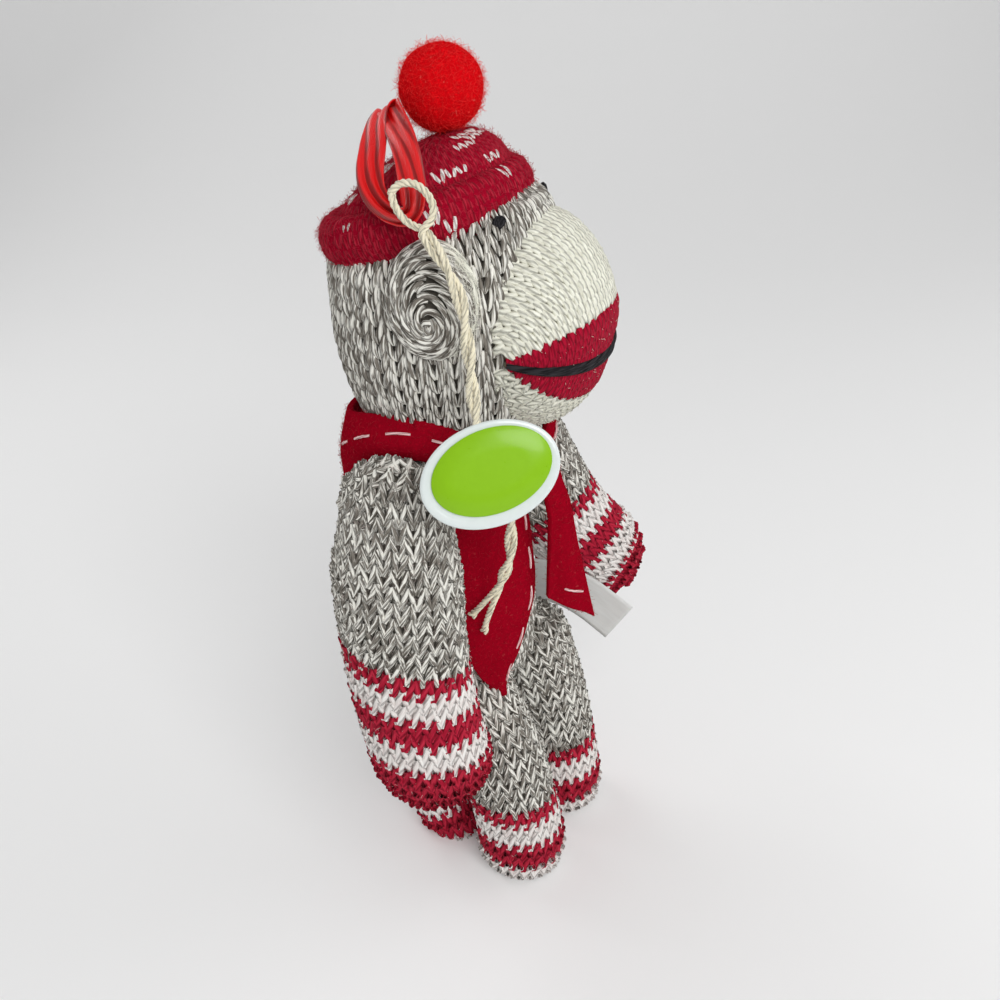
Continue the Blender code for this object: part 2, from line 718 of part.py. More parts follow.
def make_eyes_and_ears(doll, pivot, head, head_guide, brim_guide):
    for side, name in ((-1, "right"), (1, "left")):
        place = head.front_at(side * EYE_SPREAD, EYE_HEIGHT, EYE_STANDOFF)
        mesh = ball(name + "_eye", Vector((0, 0, 0)),
                    (EYE_SIZE / 2, EYE_HALF_DEPTH, EYE_SIZE / 2), 10, 8)
        turn = Matrix.Rotation(side * EYE_TURN, 4, "Z")
        mesh.transform(Matrix.Translation(place) @ turn)
        doll.add(name + "_eye", mesh, BLACK, pivot)
        back, width, depth = head.section(EAR_HEIGHT)
        share = (EAR_SETBACK + back) / depth
        surface = Vector((side * width * sqrt(1 - share * share), -EAR_SETBACK, EAR_HEIGHT))
        mesh = ball(name + "_ear", Vector((0, 0, 0)),
                    (EAR_THICKNESS, EAR_HALF_WIDTH, EAR_HALF_HEIGHT), 14, 10)
        mesh.transform(Matrix.Translation(surface) @ Matrix.Rotation(side * -EAR_TURN, 4, "Z"))
        cut(doll.add(name + "_ear", mesh, MARL, pivot), head_guide, brim_guide)


def hat_place(height):
    """The frame of the hat at a height along its tilted axis."""
    turn = Matrix.Rotation(-HAT_TILT, 4, "X")
    return Matrix.Translation((0, BRIM_SETBACK, BRIM_HEIGHT)) @ turn @ Matrix.Translation(
        (0, 0, height))


def make_hat(doll, pivot, head_guide):
    def brim_mesh(name, thickness, sides):
        bpy.ops.mesh.primitive_torus_add(
            major_segments=sides, minor_segments=10, major_radius=BRIM_RING,
            minor_radius=thickness / 2)
        item = bpy.context.object
        mesh = item.data
        bpy.data.objects.remove(item)
        mesh.name = name
        size = Matrix.Diagonal((1, BRIM_DEPTH_SHARE, BRIM_ROLL_SHARE, 1))
        mesh.transform(hat_place(0) @ size)
        return mesh

    brim = doll.add("hat_brim", brim_mesh("hat_brim", BRIM_THICKNESS, 24), CRIMSON, pivot)
    cut(brim, head_guide)
    brim_guide = doll.guide("brim_guide", brim_mesh("brim_guide", BRIM_THICKNESS + 2 * GAP, 24))
    pompom_centre = Vector((0, POMPOM_SETBACK, POMPOM_HEIGHT))
    apex = hat_place(0).inverted() @ (pompom_centre - Vector((0, 0, POMPOM_RADIUS + GAP)))
    rings = []
    for turn in CROWN_TURNS:
        rise = sin(radians(turn))
        spread = BRIM_RING * cos(radians(turn)) ** CROWN_SLOPE
        centre = hat_place(0) @ Vector((0, apex.y * rise * rise, apex.z * rise))
        side = hat_place(0).to_3x3() @ Vector((spread, 0, 0))
        front = hat_place(0).to_3x3() @ Vector((0, spread * BRIM_DEPTH_SHARE, 0))
        rings.append(ellipse(centre, side, front, BODY_SIDES))
    crown = doll.add("hat_crown", loft("hat_crown", rings, cap_start=False), CRIMSON, pivot)
    thicken(crown, FELT)
    cut(crown, brim_guide, head_guide)
    size = (POMPOM_RADIUS,) * 3
    doll.add("pompom", ball("pompom", pompom_centre, size, 14, 10), POMPOM_RED, pivot)
    return brim_guide


CROWN_TURNS = (0, 20, 40, 58, 74, 82)
CROWN_SLOPE = 1.2


def make_ribbon(doll, pivot):
    points = smooth_route(in_millimetres(RIBBON_ROUTE), RIBBON_WIDTH / 2)
    rows = []
    for i, point in enumerate(points):
        along = (points[min(i + 1, len(points) - 1)] - points[max(i - 1, 0)]).normalized()
        outward = Vector((point.x - RIBBON_FACE.x, 0, point.z - RIBBON_FACE.z)).normalized()
        across = along.cross(outward).normalized() * (RIBBON_WIDTH / 2)
        rows.append([point - across, point, point + across])
    ribbon = doll.add("ribbon_loop", sheet("ribbon_loop", rows), SATIN_RED, pivot)
    thicken(ribbon, RIBBON_THICKNESS, 0.0)


RIBBON_FACE = Vector((0, 0, 140 * MM))


def tag_frame():
    """The frame of the tag: X along its length, Y up its face, Z out of its face."""
    turn = Matrix.Rotation(TAG_TURN, 4, "Z") @ Matrix.Rotation(pi / 2 - TAG_TILT, 4, "X")
    return Matrix.Translation(TAG_CENTRE) @ turn


def oval(name, length, height, thickness, frame, sides=28):
    bm = bmesh.new()
    bmesh.ops.create_cone(bm, cap_ends=True, segments=sides, radius1=1, radius2=1, depth=1)
    size = Matrix.Diagonal((length, height, thickness, 1))
    bmesh.ops.transform(bm, matrix=frame @ size, verts=bm.verts)
    return mesh_from(name, bm)


def bar(name, size, place, frame):
    bm = bmesh.new()
    bmesh.ops.create_cube(bm, size=1)
    matrix = frame @ Matrix.Translation(place) @ Matrix.Diagonal((*size, 1))
    bmesh.ops.transform(bm, matrix=matrix, verts=bm.verts)
    return mesh_from(name, bm)


def make_tag(doll, pivot):
    upright = tag_frame()
    rolled = upright @ Matrix.Rotation(TAG_ROLL, 4, "Z")
    card = doll.add("hang_tag", oval("hang_tag", TAG_HALF_LENGTH, TAG_HALF_HEIGHT,
                                     TAG_THICKNESS, rolled), TAG_WHITE, pivot)
    standoff = STRING + 4 * GAP
    depth = -TAG_THICKNESS / 2 - standoff - TAG_BRIDGE_BAR / 2
    size = (TAG_BRIDGE_WIDTH, TAG_BRIDGE_HEIGHT, TAG_BRIDGE_BAR)
    pieces = [bar("bridge_bar", size, (0, TAG_BRIDGE_RISE, depth), upright)]
    post_depth = standoff + TAG_BRIDGE_BAR + TAG_THICKNESS / 2
    for side, name in ((-1, "bridge_post_back"), (1, "bridge_post_front")):
        place = (side * (TAG_BRIDGE_WIDTH - TAG_BRIDGE_BAR) / 2, TAG_BRIDGE_RISE,
                 -post_depth / 2)
        size = (TAG_BRIDGE_BAR, TAG_BRIDGE_HEIGHT, post_depth)
        pieces.append(bar(name, size, place, upright))
    for mesh in pieces:
        join_to(card, doll.guide(mesh.name, mesh))
    out = TAG_THICKNESS / 2 + GAP + TAG_STICKER / 2
    sticker = oval("tag_sticker", TAG_HALF_LENGTH - TAG_RIM, TAG_HALF_HEIGHT - TAG_RIM,
                   TAG_STICKER, rolled @ Matrix.Translation((TAG_SHIFT, TAG_SHIFT, out)))
    doll.add("tag_sticker", sticker, TAG_GREEN, pivot)
    step = STRING * STRING_STEP
    for name, route in (("tag_string_back", BACK_STRING_ROUTE),
                        ("tag_string_front", FRONT_STRING_ROUTE)):
        points = smooth_route(in_millimetres(route), step)
        doll.add(name, tube(name, points, STRING), CREAM, pivot)


def make_collar(doll, pivot):
    rows = [[], []]
    for i in range(COLLAR_SIDES):
        turn = 2 * pi * i / COLLAR_SIDES
        frontness = -sin(turn)
        depth = COLLAR_FRONT if frontness > 0 else -COLLAR_BACK
        ends = COLLAR_FRONT_HEIGHTS if frontness > 0 else COLLAR_BACK_HEIGHTS
        share = abs(frontness) ** COLLAR_DROOP
        for row, low, high in zip(rows, COLLAR_SIDE_HEIGHTS, ends):
            height = low + (high - low) * share
            row.append(Vector((COLLAR_HALF_WIDTH * cos(turn), depth * frontness, height)))
    middle = [(a + b) / 2 for a, b in zip(*rows)]
    collar = doll.add("scarf_collar", loft("scarf_collar", [rows[0], middle, rows[1]],
                                           cap_start=False, cap_end=False), FELT_RED, pivot)
    thicken(collar, FELT, 0.0)
    for number, (i, j) in enumerate(COLLAR_STITCHES):
        add_stitch(doll, f"collar_stitch_{number + 1}",
                   rows[0][i].lerp(rows[1][i], COLLAR_STITCH_RISE_SHARE),
                   rows[0][j].lerp(rows[1][j], COLLAR_STITCH_RISE_SHARE), pivot)


# Sides of the collar that each of its stitches runs between
COLLAR_STITCHES = ((16, 17), (18, 19), (20, 21))
COLLAR_STITCH_RISE_SHARE = 0.3
COLLAR_SIDES = 28
COLLAR_DROOP = 2.0


def collar_edge(side):
    """The lower edge of the front of the collar, at a distance to one side."""
    front = 1 - (side / COLLAR_HALF_WIDTH) ** 2
    low, high = COLLAR_SIDE_HEIGHTS[0], COLLAR_FRONT_HEIGHTS[0]
    return Vector((side, COLLAR_FRONT * sqrt(front), low + (high - low) * front))


def scarf_tail(torso, span, end, tip_side, flare, standoff, rows=9, columns=5):
    """Rows of points of a scarf tail that hangs from the collar's lower edge."""
    grid = []
    for i in range(rows):
        share = i / (rows - 1)
        narrow = max(0.0, (share - POINT_SHARE) / (1 - POINT_SHARE)) if tip_side else 0.0
        left = span[0] + flare * share
        right = span[1] + flare * share
        if tip_side:
            left += (tip_side - POINT_HALF_WIDTH - left) * narrow
            right += (tip_side + POINT_HALF_WIDTH - right) * narrow
        line = []
        for j in range(columns):
            part = j / (columns - 1)
            top = collar_edge(span[0] + (span[1] - span[0]) * part) - Vector((0, 0, GAP))
            side = left + (right - left) * part
            below = torso.front_at(side, SCARF_HANG_HEIGHT, standoff)
            line.append(Vector((side, top.y + (below.y - top.y) * share,
                                top.z + (end - top.z) * share)))
        grid.append(line)
    return grid


POINT_SHARE = 0.45
POINT_HALF_WIDTH = 1.2 * MM


def make_scarf_tails(doll, long_pivot, short_pivot, torso):
    long_rows = scarf_tail(torso, LONG_TAIL_SPAN, LONG_TAIL_END, LONG_TAIL_TIP_SIDE, 0,
                           SCARF_STANDOFF_END)
    item = doll.add("scarf_long_tail", sheet("scarf_long_tail", long_rows), FELT_RED, long_pivot)
    thicken(item, FELT, 0.0)
    short_rows = scarf_tail(torso, SHORT_TAIL_SPAN, SHORT_TAIL_END, 0, SHORT_TAIL_FLARE,
                            SHORT_TAIL_STANDOFF_END)
    item = doll.add("scarf_short_tail", sheet("scarf_short_tail", short_rows), FELT_RED,
                    short_pivot)
    thicken(item, FELT, 0.0)
    for name, grid, column, pivot in (("long_tail_stitch", long_rows, -1, long_pivot),
                                      ("short_tail_stitch", short_rows, 0, short_pivot)):
        inner = 1 if column == 0 else -2
        for number, i in enumerate(range(1, len(grid) - 2, 2)):
            a = grid[i][column].lerp(grid[i][inner], STITCH_INSET_SHARE)
            b = grid[i + 1][column].lerp(grid[i + 1][inner], STITCH_INSET_SHARE)
            add_stitch(doll, f"{name}_{number + 1}", a, b, pivot)


def add_stitch(doll, name, start, end, pivot):
    """One running stitch in front of the felt between two of its points."""
    out = Vector(((start.x + end.x) / 2, (start.y + end.y) / 2, 0)).normalized()
    centre = (start + end) / 2 + out * (FELT / 2 + STITCH_THREAD / 2 + GAP)
    half = (end - start).normalized() * (STITCH_LENGTH / 2)
    mesh = tube(name, [centre - half, centre, centre + half], STITCH_THREAD, 1)
    doll.add(name, mesh, PALE_THREAD, pivot)


STITCH_INSET_SHARE = 0.6


def make_label(doll, pivot, torso):
    top = torso.section(LABEL_HEIGHT + LABEL_WIDTH / 2)
    seam = Vector((top[1] + GAP + LABEL_THICKNESS / 2, LABEL_SETBACK, LABEL_HEIGHT))
    route = [seam + Vector((LABEL_OUT * out, -LABEL_REACH * ahead, -LABEL_DROP * down))
             for out, ahead, down in LABEL_SHARES]
    points = smooth_route(route, LABEL_WIDTH / 2)
    rows = []
    for i, point in enumerate(points):
        share = i / (len(points) - 1)
        lean = LABEL_LEAN_SHARES[0] + (LABEL_LEAN_SHARES[1] - LABEL_LEAN_SHARES[0]) * share
        half = Vector((0, -lean, 1)).normalized() * (LABEL_WIDTH / 2)
        rows.append([point - half, point + half])
    label = doll.add("care_label", sheet("care_label", rows), SATIN_WHITE, pivot)
    thicken(label, LABEL_THICKNESS, 0.0)


def build():
    clear_scene()
    doll = Doll()
    torso, head = torso_form(), head_form()
    right_leg = leg_form(-1, RIGHT_FOOT_SETBACK)
    left_leg = leg_form(1, LEFT_FOOT_SETBACK)
    right_arm = arm_form(-1, RIGHT_ARM_REACH, RIGHT_ARM_BOW, ARM_HALF_DEPTH)
    left_arm = arm_form(1, LEFT_ARM_REACH, LEFT_ARM_BOW, LEFT_ARM_HALF_DEPTH)
    tail = tail_form()

    torso_pivot = doll.empty("torso", Vector((0, 0, 0)), doll.root)
    make_torso(doll, torso_pivot, torso,
               (("right_hip_socket", right_leg), ("left_hip_socket", left_leg)), tail)
    make_collar(doll, torso_pivot)
    make_label(doll, torso_pivot, torso)

    neck = doll.empty("head_turn", Vector((0, HEAD_SETBACK, HEAD_BOTTOM)), torso_pivot)
    make_head(doll, neck, head, torso)
    head_guide = doll.guide("head_guide", loft("head_guide", head.rings(GAP, ends=GAP)))
    make_muzzle(doll, neck, head_guide)
    brim_guide = make_hat(doll, neck, head_guide)
    make_eyes_and_ears(doll, neck, head, head_guide, brim_guide)
    ribbon = doll.empty("ribbon_lift", Vector(RIBBON_ROUTE[-1]) * MM, neck)
    make_ribbon(doll, ribbon)
    tag = doll.empty("tag_swing", Vector(TAG_PIVOT), ribbon)
    make_tag(doll, tag)

    for name, side, limb in (("right", -1, right_arm), ("left", 1, left_arm)):
        swing = doll.empty(name + "_arm_swing", limb.root, torso_pivot)
        inner = limb.root - Vector((side * (SHOULDER_RADIUS + GAP + YARN / 2), 0, 0))
        ring = yarn_ring(name + "_shoulder_yarn", inner, Vector((1, 0, 0)),
                         SHOULDER_YARN_RING, YARN)
        doll.add(name + "_shoulder_yarn", ring, MARL, swing)
        lift = doll.empty(name + "_arm_raise", limb.root, swing)
        names = (name + "_arm_sleeve", name + "_hand", name + "_arm_stuffing")
        make_limb(doll, lift, limb, names, ARM_CUFF_SHARE)
    for name, limb in (("right", right_leg), ("left", left_leg)):
        swing = doll.empty(name + "_leg_swing", limb.root, torso_pivot)
        names = (name + "_leg_sleeve", name + "_foot", name + "_leg_stuffing")
        make_limb(doll, swing, limb, names, LEG_CUFF_SHARE)
    swing = doll.empty("tail_swing", tail.root, torso_pivot)
    make_limb(doll, swing, tail, ("tail_sleeve", "tail_end", "tail_stuffing"), TAIL_CUFF_SHARE)

    lift_place = Vector((0, COLLAR_FRONT, SCARF_LIFT_HEIGHT))
    make_scarf_tails(doll, doll.empty("long_tail_lift", lift_place, torso_pivot),
                     doll.empty("short_tail_lift", lift_place, torso_pivot), torso)
    bpy.context.view_layer.update()


build()
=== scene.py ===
"""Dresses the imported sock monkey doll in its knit, felt, ribbon, string and tag.

The stuffed forms are lofted from rings. Their stitches are laid out row by row on
those forms, and geometry nodes turn each place into a stitch, a hair or a thread.
Lengths are metres, the face looks along -Y, and the doll's right is -X.
"""

from math import cos, pi, radians, sin, sqrt

import bmesh
import bpy
import numpy as np
from mathutils import Matrix, Vector


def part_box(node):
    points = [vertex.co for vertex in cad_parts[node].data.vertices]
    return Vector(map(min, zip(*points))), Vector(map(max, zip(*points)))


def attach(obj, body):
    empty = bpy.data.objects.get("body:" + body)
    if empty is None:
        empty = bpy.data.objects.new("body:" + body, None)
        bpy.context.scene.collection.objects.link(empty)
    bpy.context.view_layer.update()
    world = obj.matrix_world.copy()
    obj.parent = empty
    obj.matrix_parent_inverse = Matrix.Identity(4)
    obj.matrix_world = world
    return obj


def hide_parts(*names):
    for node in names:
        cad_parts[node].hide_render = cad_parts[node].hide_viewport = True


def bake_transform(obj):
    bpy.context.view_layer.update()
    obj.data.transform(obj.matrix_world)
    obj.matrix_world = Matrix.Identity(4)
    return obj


bl_info = {
    "name": "Knitted Sock Monkey Doll",
    "version": (1, 0, 0),
    "blender": (4, 5, 0),
    "location": "View3D > Sidebar > Knit Doll",
    "description": "Knits, felts and trims a small sock monkey doll",
    "category": "Add Mesh",
}

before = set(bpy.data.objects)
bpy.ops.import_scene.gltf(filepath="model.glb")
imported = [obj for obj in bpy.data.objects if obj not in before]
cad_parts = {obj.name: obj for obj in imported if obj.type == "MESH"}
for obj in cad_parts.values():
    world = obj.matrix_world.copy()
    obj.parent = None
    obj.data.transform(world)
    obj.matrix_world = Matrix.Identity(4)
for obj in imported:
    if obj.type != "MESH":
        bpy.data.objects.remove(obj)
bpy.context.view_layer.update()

MM = 0.001
STANCE = Vector((-0.8, 3.0, 0)) * MM  # from the middle of the drawing to the frame's
VIEW_TURN = -68  # degrees from the doll's front to the photograph's camera
LUMPS = 0.35 * MM  # how far loose filling pushes torso and limbs out of shape
BODY_LIFT = 0.5 * MM  # how far a body stitch stands off its form


# ---------------------------------------------------------------- settings


def length(name, description, default):
    return bpy.props.FloatProperty(
        name=name, description=description, default=default * MM, min=0,
        unit="LENGTH", subtype="DISTANCE", precision=5)


def colour(name, description, default):
    return bpy.props.FloatVectorProperty(
        name=name, description=description, default=default, min=0, max=1,
        size=3, subtype="COLOR")


def power(name, description, default):
    return bpy.props.FloatProperty(
        name=name, description=description, default=default, min=0, unit="POWER")


class YarnSettings(bpy.types.PropertyGroup):
    """Sizes and colours of the knitting."""

    wale: length("Stitch width", "Width of a body stitch", 3.7)
    course: length("Row height", "Height of a row of body stitches", 2.8)
    leg: length("Stitch yarn", "Thickness of one leg of a body stitch", 1.45)
    limb_wale: length("Limb stitch width", "Width of a stitch of arms and legs", 3.05)
    limb_course: length("Limb row height", "Height of a row of arms and legs", 3.1)
    mitt_wale: length("Mitt stitch width", "Width of a stitch of hands and feet", 2.6)
    fine_wale: length("Fine stitch width", "Width of a muzzle stitch", 2.1)
    fine_course: length("Fine row height", "Height of a row on the muzzle", 1.75)
    fine_leg: length("Fine yarn", "Thickness of one leg of a muzzle stitch", 1.2)
    marl_dark: colour("Marl dark", "Dark ply of the marl yarn", (0.11, 0.09, 0.07))
    marl_light: colour("Marl light", "White ply of the marl yarn", (0.88, 0.865, 0.8))
    cream: colour("Cream", "Wool of the muzzle", (0.84, 0.83, 0.71))
    white: colour("Stripe white", "Pale stripes of hands and feet", (0.9, 0.8, 0.77))
    crimson: colour("Crimson", "Red stripes and lips", (0.4, 0.006, 0.03))
    black: colour("Black", "Yarn of eyes and mouth", (0.012, 0.011, 0.013))


class FeltSettings(bpy.types.PropertyGroup):
    """Sizes and colours of hat, scarf and pom-pom."""

    felt: colour("Scarf felt", "Colour of the scarf", (0.42, 0.003, 0.017))
    hat: colour("Hat wool", "Colour of the felted hat", (0.36, 0.004, 0.022))
    pompom: colour("Pom-pom", "Colour of the felt ball", (0.88, 0.004, 0.009))
    thread: colour("Scarf thread", "Colour of the running stitches", (0.85, 0.5, 0.5))
    thickness: length("Felt thickness", "Thickness of the scarf", 1.3)
    hair: length("Fluff length", "Length of a stray fibre", 1.5)
    hair_size: length("Fluff size", "Thickness of a stray fibre", 0.06)


class TrimSettings(bpy.types.PropertyGroup):
    """Sizes and colours of ribbon, string, tag and label."""

    satin: colour("Satin", "Colour of the ribbon", (0.8, 0.001, 0.003))
    cotton: colour("Cotton", "Colour of the tag's string", (0.8, 0.74, 0.56))
    card: colour("Tag", "Colour of the tag", (0.7, 0.76, 0.75))
    sticker: colour("Tag face", "Colour of the oval on the tag", (0.24, 0.5, 0.0))
    label: colour("Label", "Colour of the care label", (0.84, 0.84, 0.82))
    ribbon_width: length("Ribbon width", "Width of the satin ribbon", 5)
    string: length("String", "Thickness of the tag's string", 1.25)


class StageSettings(bpy.types.PropertyGroup):
    """Floor, backdrop and light."""

    floor: colour("Floor", "Colour of the floor and backdrop", (0.87, 0.87, 0.87))
    key: power("Key light", "Power of the large lamp", 1.75)
    fill: power("Fill light", "Power of the side lamp", 0.5)
    sky: bpy.props.FloatProperty(
        name="Sky", description="Strength of the even light", default=0.5, min=0)


def yarn():
    return bpy.context.scene.doll_yarn


def felt():
    return bpy.context.scene.doll_felt


def trim():
    return bpy.context.scene.doll_trim


# ------------------------------------------------------------- node helpers


class Wire:
    """A node's output that takes part in Python sums."""

    def __init__(self, tree, output):
        self.tree = tree
        self.output = output

    def math(self, operation, *values):
        return node(self.tree, "ShaderNodeMath", dict(enumerate(values)), operation=operation)

    def sine(self):
        return self.math("SINE", self)

    def __add__(self, other):
        return self.math("ADD", self, other)

    def __sub__(self, other):
        return self.math("SUBTRACT", self, other)

    def __mul__(self, other):
        return self.math("MULTIPLY", self, other)

    def __truediv__(self, other):
        return self.math("DIVIDE", self, other)

    def __rsub__(self, other):
        return self.math("SUBTRACT", other, self)

    def __rtruediv__(self, other):
        return self.math("DIVIDE", other, self)

    __radd__ = __add__
    __rmul__ = __mul__


def node(tree, kind, values=None, output=0, **settings):
    """Add a node, set it up, link or fill its sockets, and return one output."""
    item = tree.nodes.new(kind)
    for key, value in settings.items():
        setattr(item, key, value)
    for key, value in (values or {}).items():
        socket = item.inputs[key]
        for one in value if isinstance(value, list) else [value]:
            if isinstance(one, Wire):
                tree.links.new(one.output, socket)
            else:
                socket.default_value = one
    return Wire(tree, item.outputs[output])


def scaled(base, factor):
    """A colour made darker or lighter by a factor."""
    return tuple(part * factor for part in base)


class Paint:
    """A material that is written as sums of its nodes."""

    def __init__(self, name, roughness=0.9, **constants):
        self.material = bpy.data.materials.new(name)
        self.material.use_nodes = True
        self.tree = self.material.node_tree
        self.shader = self.tree.nodes["Principled BSDF"]
        self.set("Roughness", roughness)
        for key, value in constants.items():
            self.set(key.replace("_", " ").title().replace("Ior", "IOR"), value)

    def set(self, socket, value):
        if isinstance(value, Wire):
            self.tree.links.new(value.output, self.shader.inputs[socket])
        else:
            self.shader.inputs[socket].default_value = value

    def node(self, kind, values=None, output=0, **settings):
        return node(self.tree, kind, values, output, **settings)

    def attribute(self, name, output):
        return self.node("ShaderNodeAttribute", output=output, attribute_name=name)

    def split(self, vector):
        """The first two parts of a vector."""
        return [self.node("ShaderNodeSeparateXYZ", {0: vector}, axis) for axis in (0, 1)]

    def vector(self, operation, first, second):
        return self.node("ShaderNodeVectorMath", {0: first, 1: second}, operation=operation)

    def noise(self, place, scale, detail=2.0, roughness=0.5, stretch=None):
        """Noise at a place, which may be stretched along its axes first."""
        if stretch:
            place = self.vector("MULTIPLY", place, stretch)
        return self.node("ShaderNodeTexNoise", {
            "Vector": place, "Scale": scale, "Detail": detail, "Roughness": roughness})

    def between(self, value, low, high):
        """0 below low, 1 above high, smooth between them."""
        return self.node("ShaderNodeMapRange", {"Value": value, "From Min": low,
                                                "From Max": high},
                         interpolation_type="SMOOTHSTEP")

    def mix(self, share, first, second):
        first, second = (item if isinstance(item, Wire) else (*item, 1)
                         for item in (first, second))
        return self.node("ShaderNodeMix", {0: share, 6: first, 7: second}, 2,
                         data_type="RGBA")

    def bump(self, height, distance, strength):
        self.set("Normal", self.node("ShaderNodeBump", {
            "Strength": strength, "Distance": distance, "Height": height}))


def yarn_paint(name, base, second, contrast, plies=3.0, roughness=0.92, sheen=0.02,
               band=(0.44, 0.56), groove=0.16):
    """Twisted wool: two shades that run with the plies, over a fine fibre bump, with painted
    shade in the grooves between the plies.
    """
    paint = Paint(name, roughness, sheen_weight=sheen, sheen_roughness=0.6,
                  specular_ior_level=0.04)
    run = paint.attribute("strand_along", 2)
    seed = paint.attribute("strand_seed", 2)
    turned = paint.node("ShaderNodeVectorRotate", {
        "Vector": paint.attribute("strand_round", 1), "Angle": run * 2.2},
        rotation_type="Z_AXIS")
    across, up = paint.split(turned)
    place = paint.node("ShaderNodeCombineXYZ", {0: across + seed * 37.0, 1: up,
                                                2: run * 0.75 + seed * 11.0})
    streak = paint.between(paint.noise(place, 1.5, 2.0, 0.55), *band)
    ply = (up.math("ARCTAN2", up, across) * plies).sine() * 0.5 + 0.5
    fibre = paint.noise(place, 2.6, 3.0, 0.6, (3.4, 3.4, 0.7))
    share = streak * contrast + fibre * (0.25 * contrast)
    # Painted shade: the grooves between the plies, broken up by fibre noise, darken towards a
    # third of the base colour.
    painted_groove_shade = paint.between(ply * 0.6 + fibre * 0.6, 0.12, 0.62)
    paint.set("Base Color", paint.mix(painted_groove_shade, scaled(base, 0.34),
                                      paint.mix(share, base, second)))
    paint.bump(ply * 0.7 + fibre * 0.8 + streak * 0.3, groove * MM, 0.9)
    return paint.material


def felt_paint(name, base, pale, fibre_scale=2600, blotch=0.25):
    """Pressed wool: crossing fibres with a soft blotchy nap."""
    paint = Paint(name, 0.95, specular_ior_level=0.0)
    place = paint.node("ShaderNodeTexCoord", output=3)
    warp = paint.noise(place, 260.0, 2.0)
    sway = paint.vector("MULTIPLY", paint.noise(place, 420.0), (0.002, 0.0015, 0.001))
    bent = paint.vector("ADD", place, sway)
    first = paint.noise(bent, fibre_scale, 3.0, 0.6, (1.0, 0.35, 1.0))
    second = paint.noise(bent, fibre_scale * 0.8, 3.0, 0.6, (0.3, 1.0, 0.7))
    nap = first.math("MAXIMUM", first, second)
    shade = paint.mix(paint.between(nap, 0.5, 0.8) * 0.55, scaled(base, 0.62),
                      scaled(base, 1.2))
    hairs = paint.between(paint.noise(bent, fibre_scale * 0.55, 1.0, 0.5, (0.25, 1.3, 1.0)),
                          0.69, 0.76)
    shade = paint.mix(hairs * 0.22, shade, pale)
    paint.set("Base Color", paint.mix(paint.between(warp, 0.3, 0.72) * blotch, shade,
                                      scaled(base, 0.5)))
    paint.bump(nap + warp * 0.8, 0.16 * MM, 0.8)
    return paint.material


def plain_paint(name, base, roughness, **constants):
    """A smooth finish with a faint mottle, such as a coated card."""
    paint = Paint(name, roughness, **constants)
    mottle = paint.noise(paint.node("ShaderNodeTexCoord", output=3), 900.0, 3.0)
    paint.set("Base Color", paint.mix(mottle, scaled(base, 0.93), base))
    paint.set("Roughness", mottle * 0.12 + (roughness - 0.06))
    paint.bump(mottle, 0.02 * MM, 0.5)
    return paint.material


def woven_paint(name, base, pale, threads, roughness, creases=(0.0, 0.0), **constants):
    """Satin: fine threads along the piece's own UV map. Its lustre is painted: long streaks and
    the troughs of its creases mix towards the colour given as pale, a painted shade.
    """
    paint = Paint(name, roughness, **constants)
    flat = paint.node("ShaderNodeUVMap", uv_map="cloth")
    across, run = paint.split(flat)
    warp, weft = (across * threads).sine(), (run * threads).sine()
    slub = paint.noise(flat, 1.0, 3.0, stretch=(900.0, 220.0, 1.0))
    # Long streaks of painted shade and light along the piece.
    painted_streaks = paint.noise(flat, 1.0, 2.0, stretch=(700.0, 120.0, 1.0))
    shade = paint.mix(slub * 0.6 + warp * 0.1, scaled(base, 0.78), base)
    # Painted shade in the crease troughs, repeating at the rate of the folds built into the
    # geometry.
    wave = across * creases[0] + run * creases[1]
    painted_crease_shade = paint.between(wave.sine() * -0.3 + painted_streaks, 0.42, 0.78)
    paint.set("Base Color", paint.mix(painted_crease_shade * 0.92, shade, pale))
    paint.set("Roughness", slub * 0.18 + (roughness - 0.09))
    paint.bump(warp * 0.5 + weft * 0.25 + slub * 0.8, 0.05 * MM, 0.6)
    return paint.material


def finish(name, maker, *values, **settings):
    """Return a material by name, and make it the first time it is asked for.

    The CAD nodes have materials of their own, so these names start with doll_."""
    name = "doll_" + name
    return bpy.data.materials.get(name) or maker(name, *values, **settings)


def marl():
    return finish("marl_yarn", yarn_paint, yarn().marl_dark[:], yarn().marl_light[:], 1.0)


SOFT_WOOLS = {"cream": ("cream_wool", 1.12), "white": ("stripe_white_wool", 1.12),
              "crimson": ("crimson_wool", 1.3), "hat": ("hat_wool", 1.35),
              "black": ("black_wool", 2.0)}


def wool(key):
    """A soft yarn of one of the set colours."""
    name, lift = SOFT_WOOLS[key]
    base = getattr(felt() if key == "hat" else yarn(), key)[:]
    pale = tuple(min(0.92, part * lift + 0.02) for part in base)
    return finish(name, yarn_paint, scaled(base, 0.78), pale, 0.8, band=(0.3, 0.7),
                  groove=0.1)


def lining(name, base):
    return finish(name, felt_paint, base, scaled(base, 1.3))


# A darker marl for the inner form between the stitches: partly the inner side of the knit,
# partly painted shade.
def marl_lining():
    return lining("marl_lining", (0.21, 0.19, 0.16))


def fluff(name, base):
    return finish(name, plain_paint, base, 0.8, specular_ior_level=0.2)


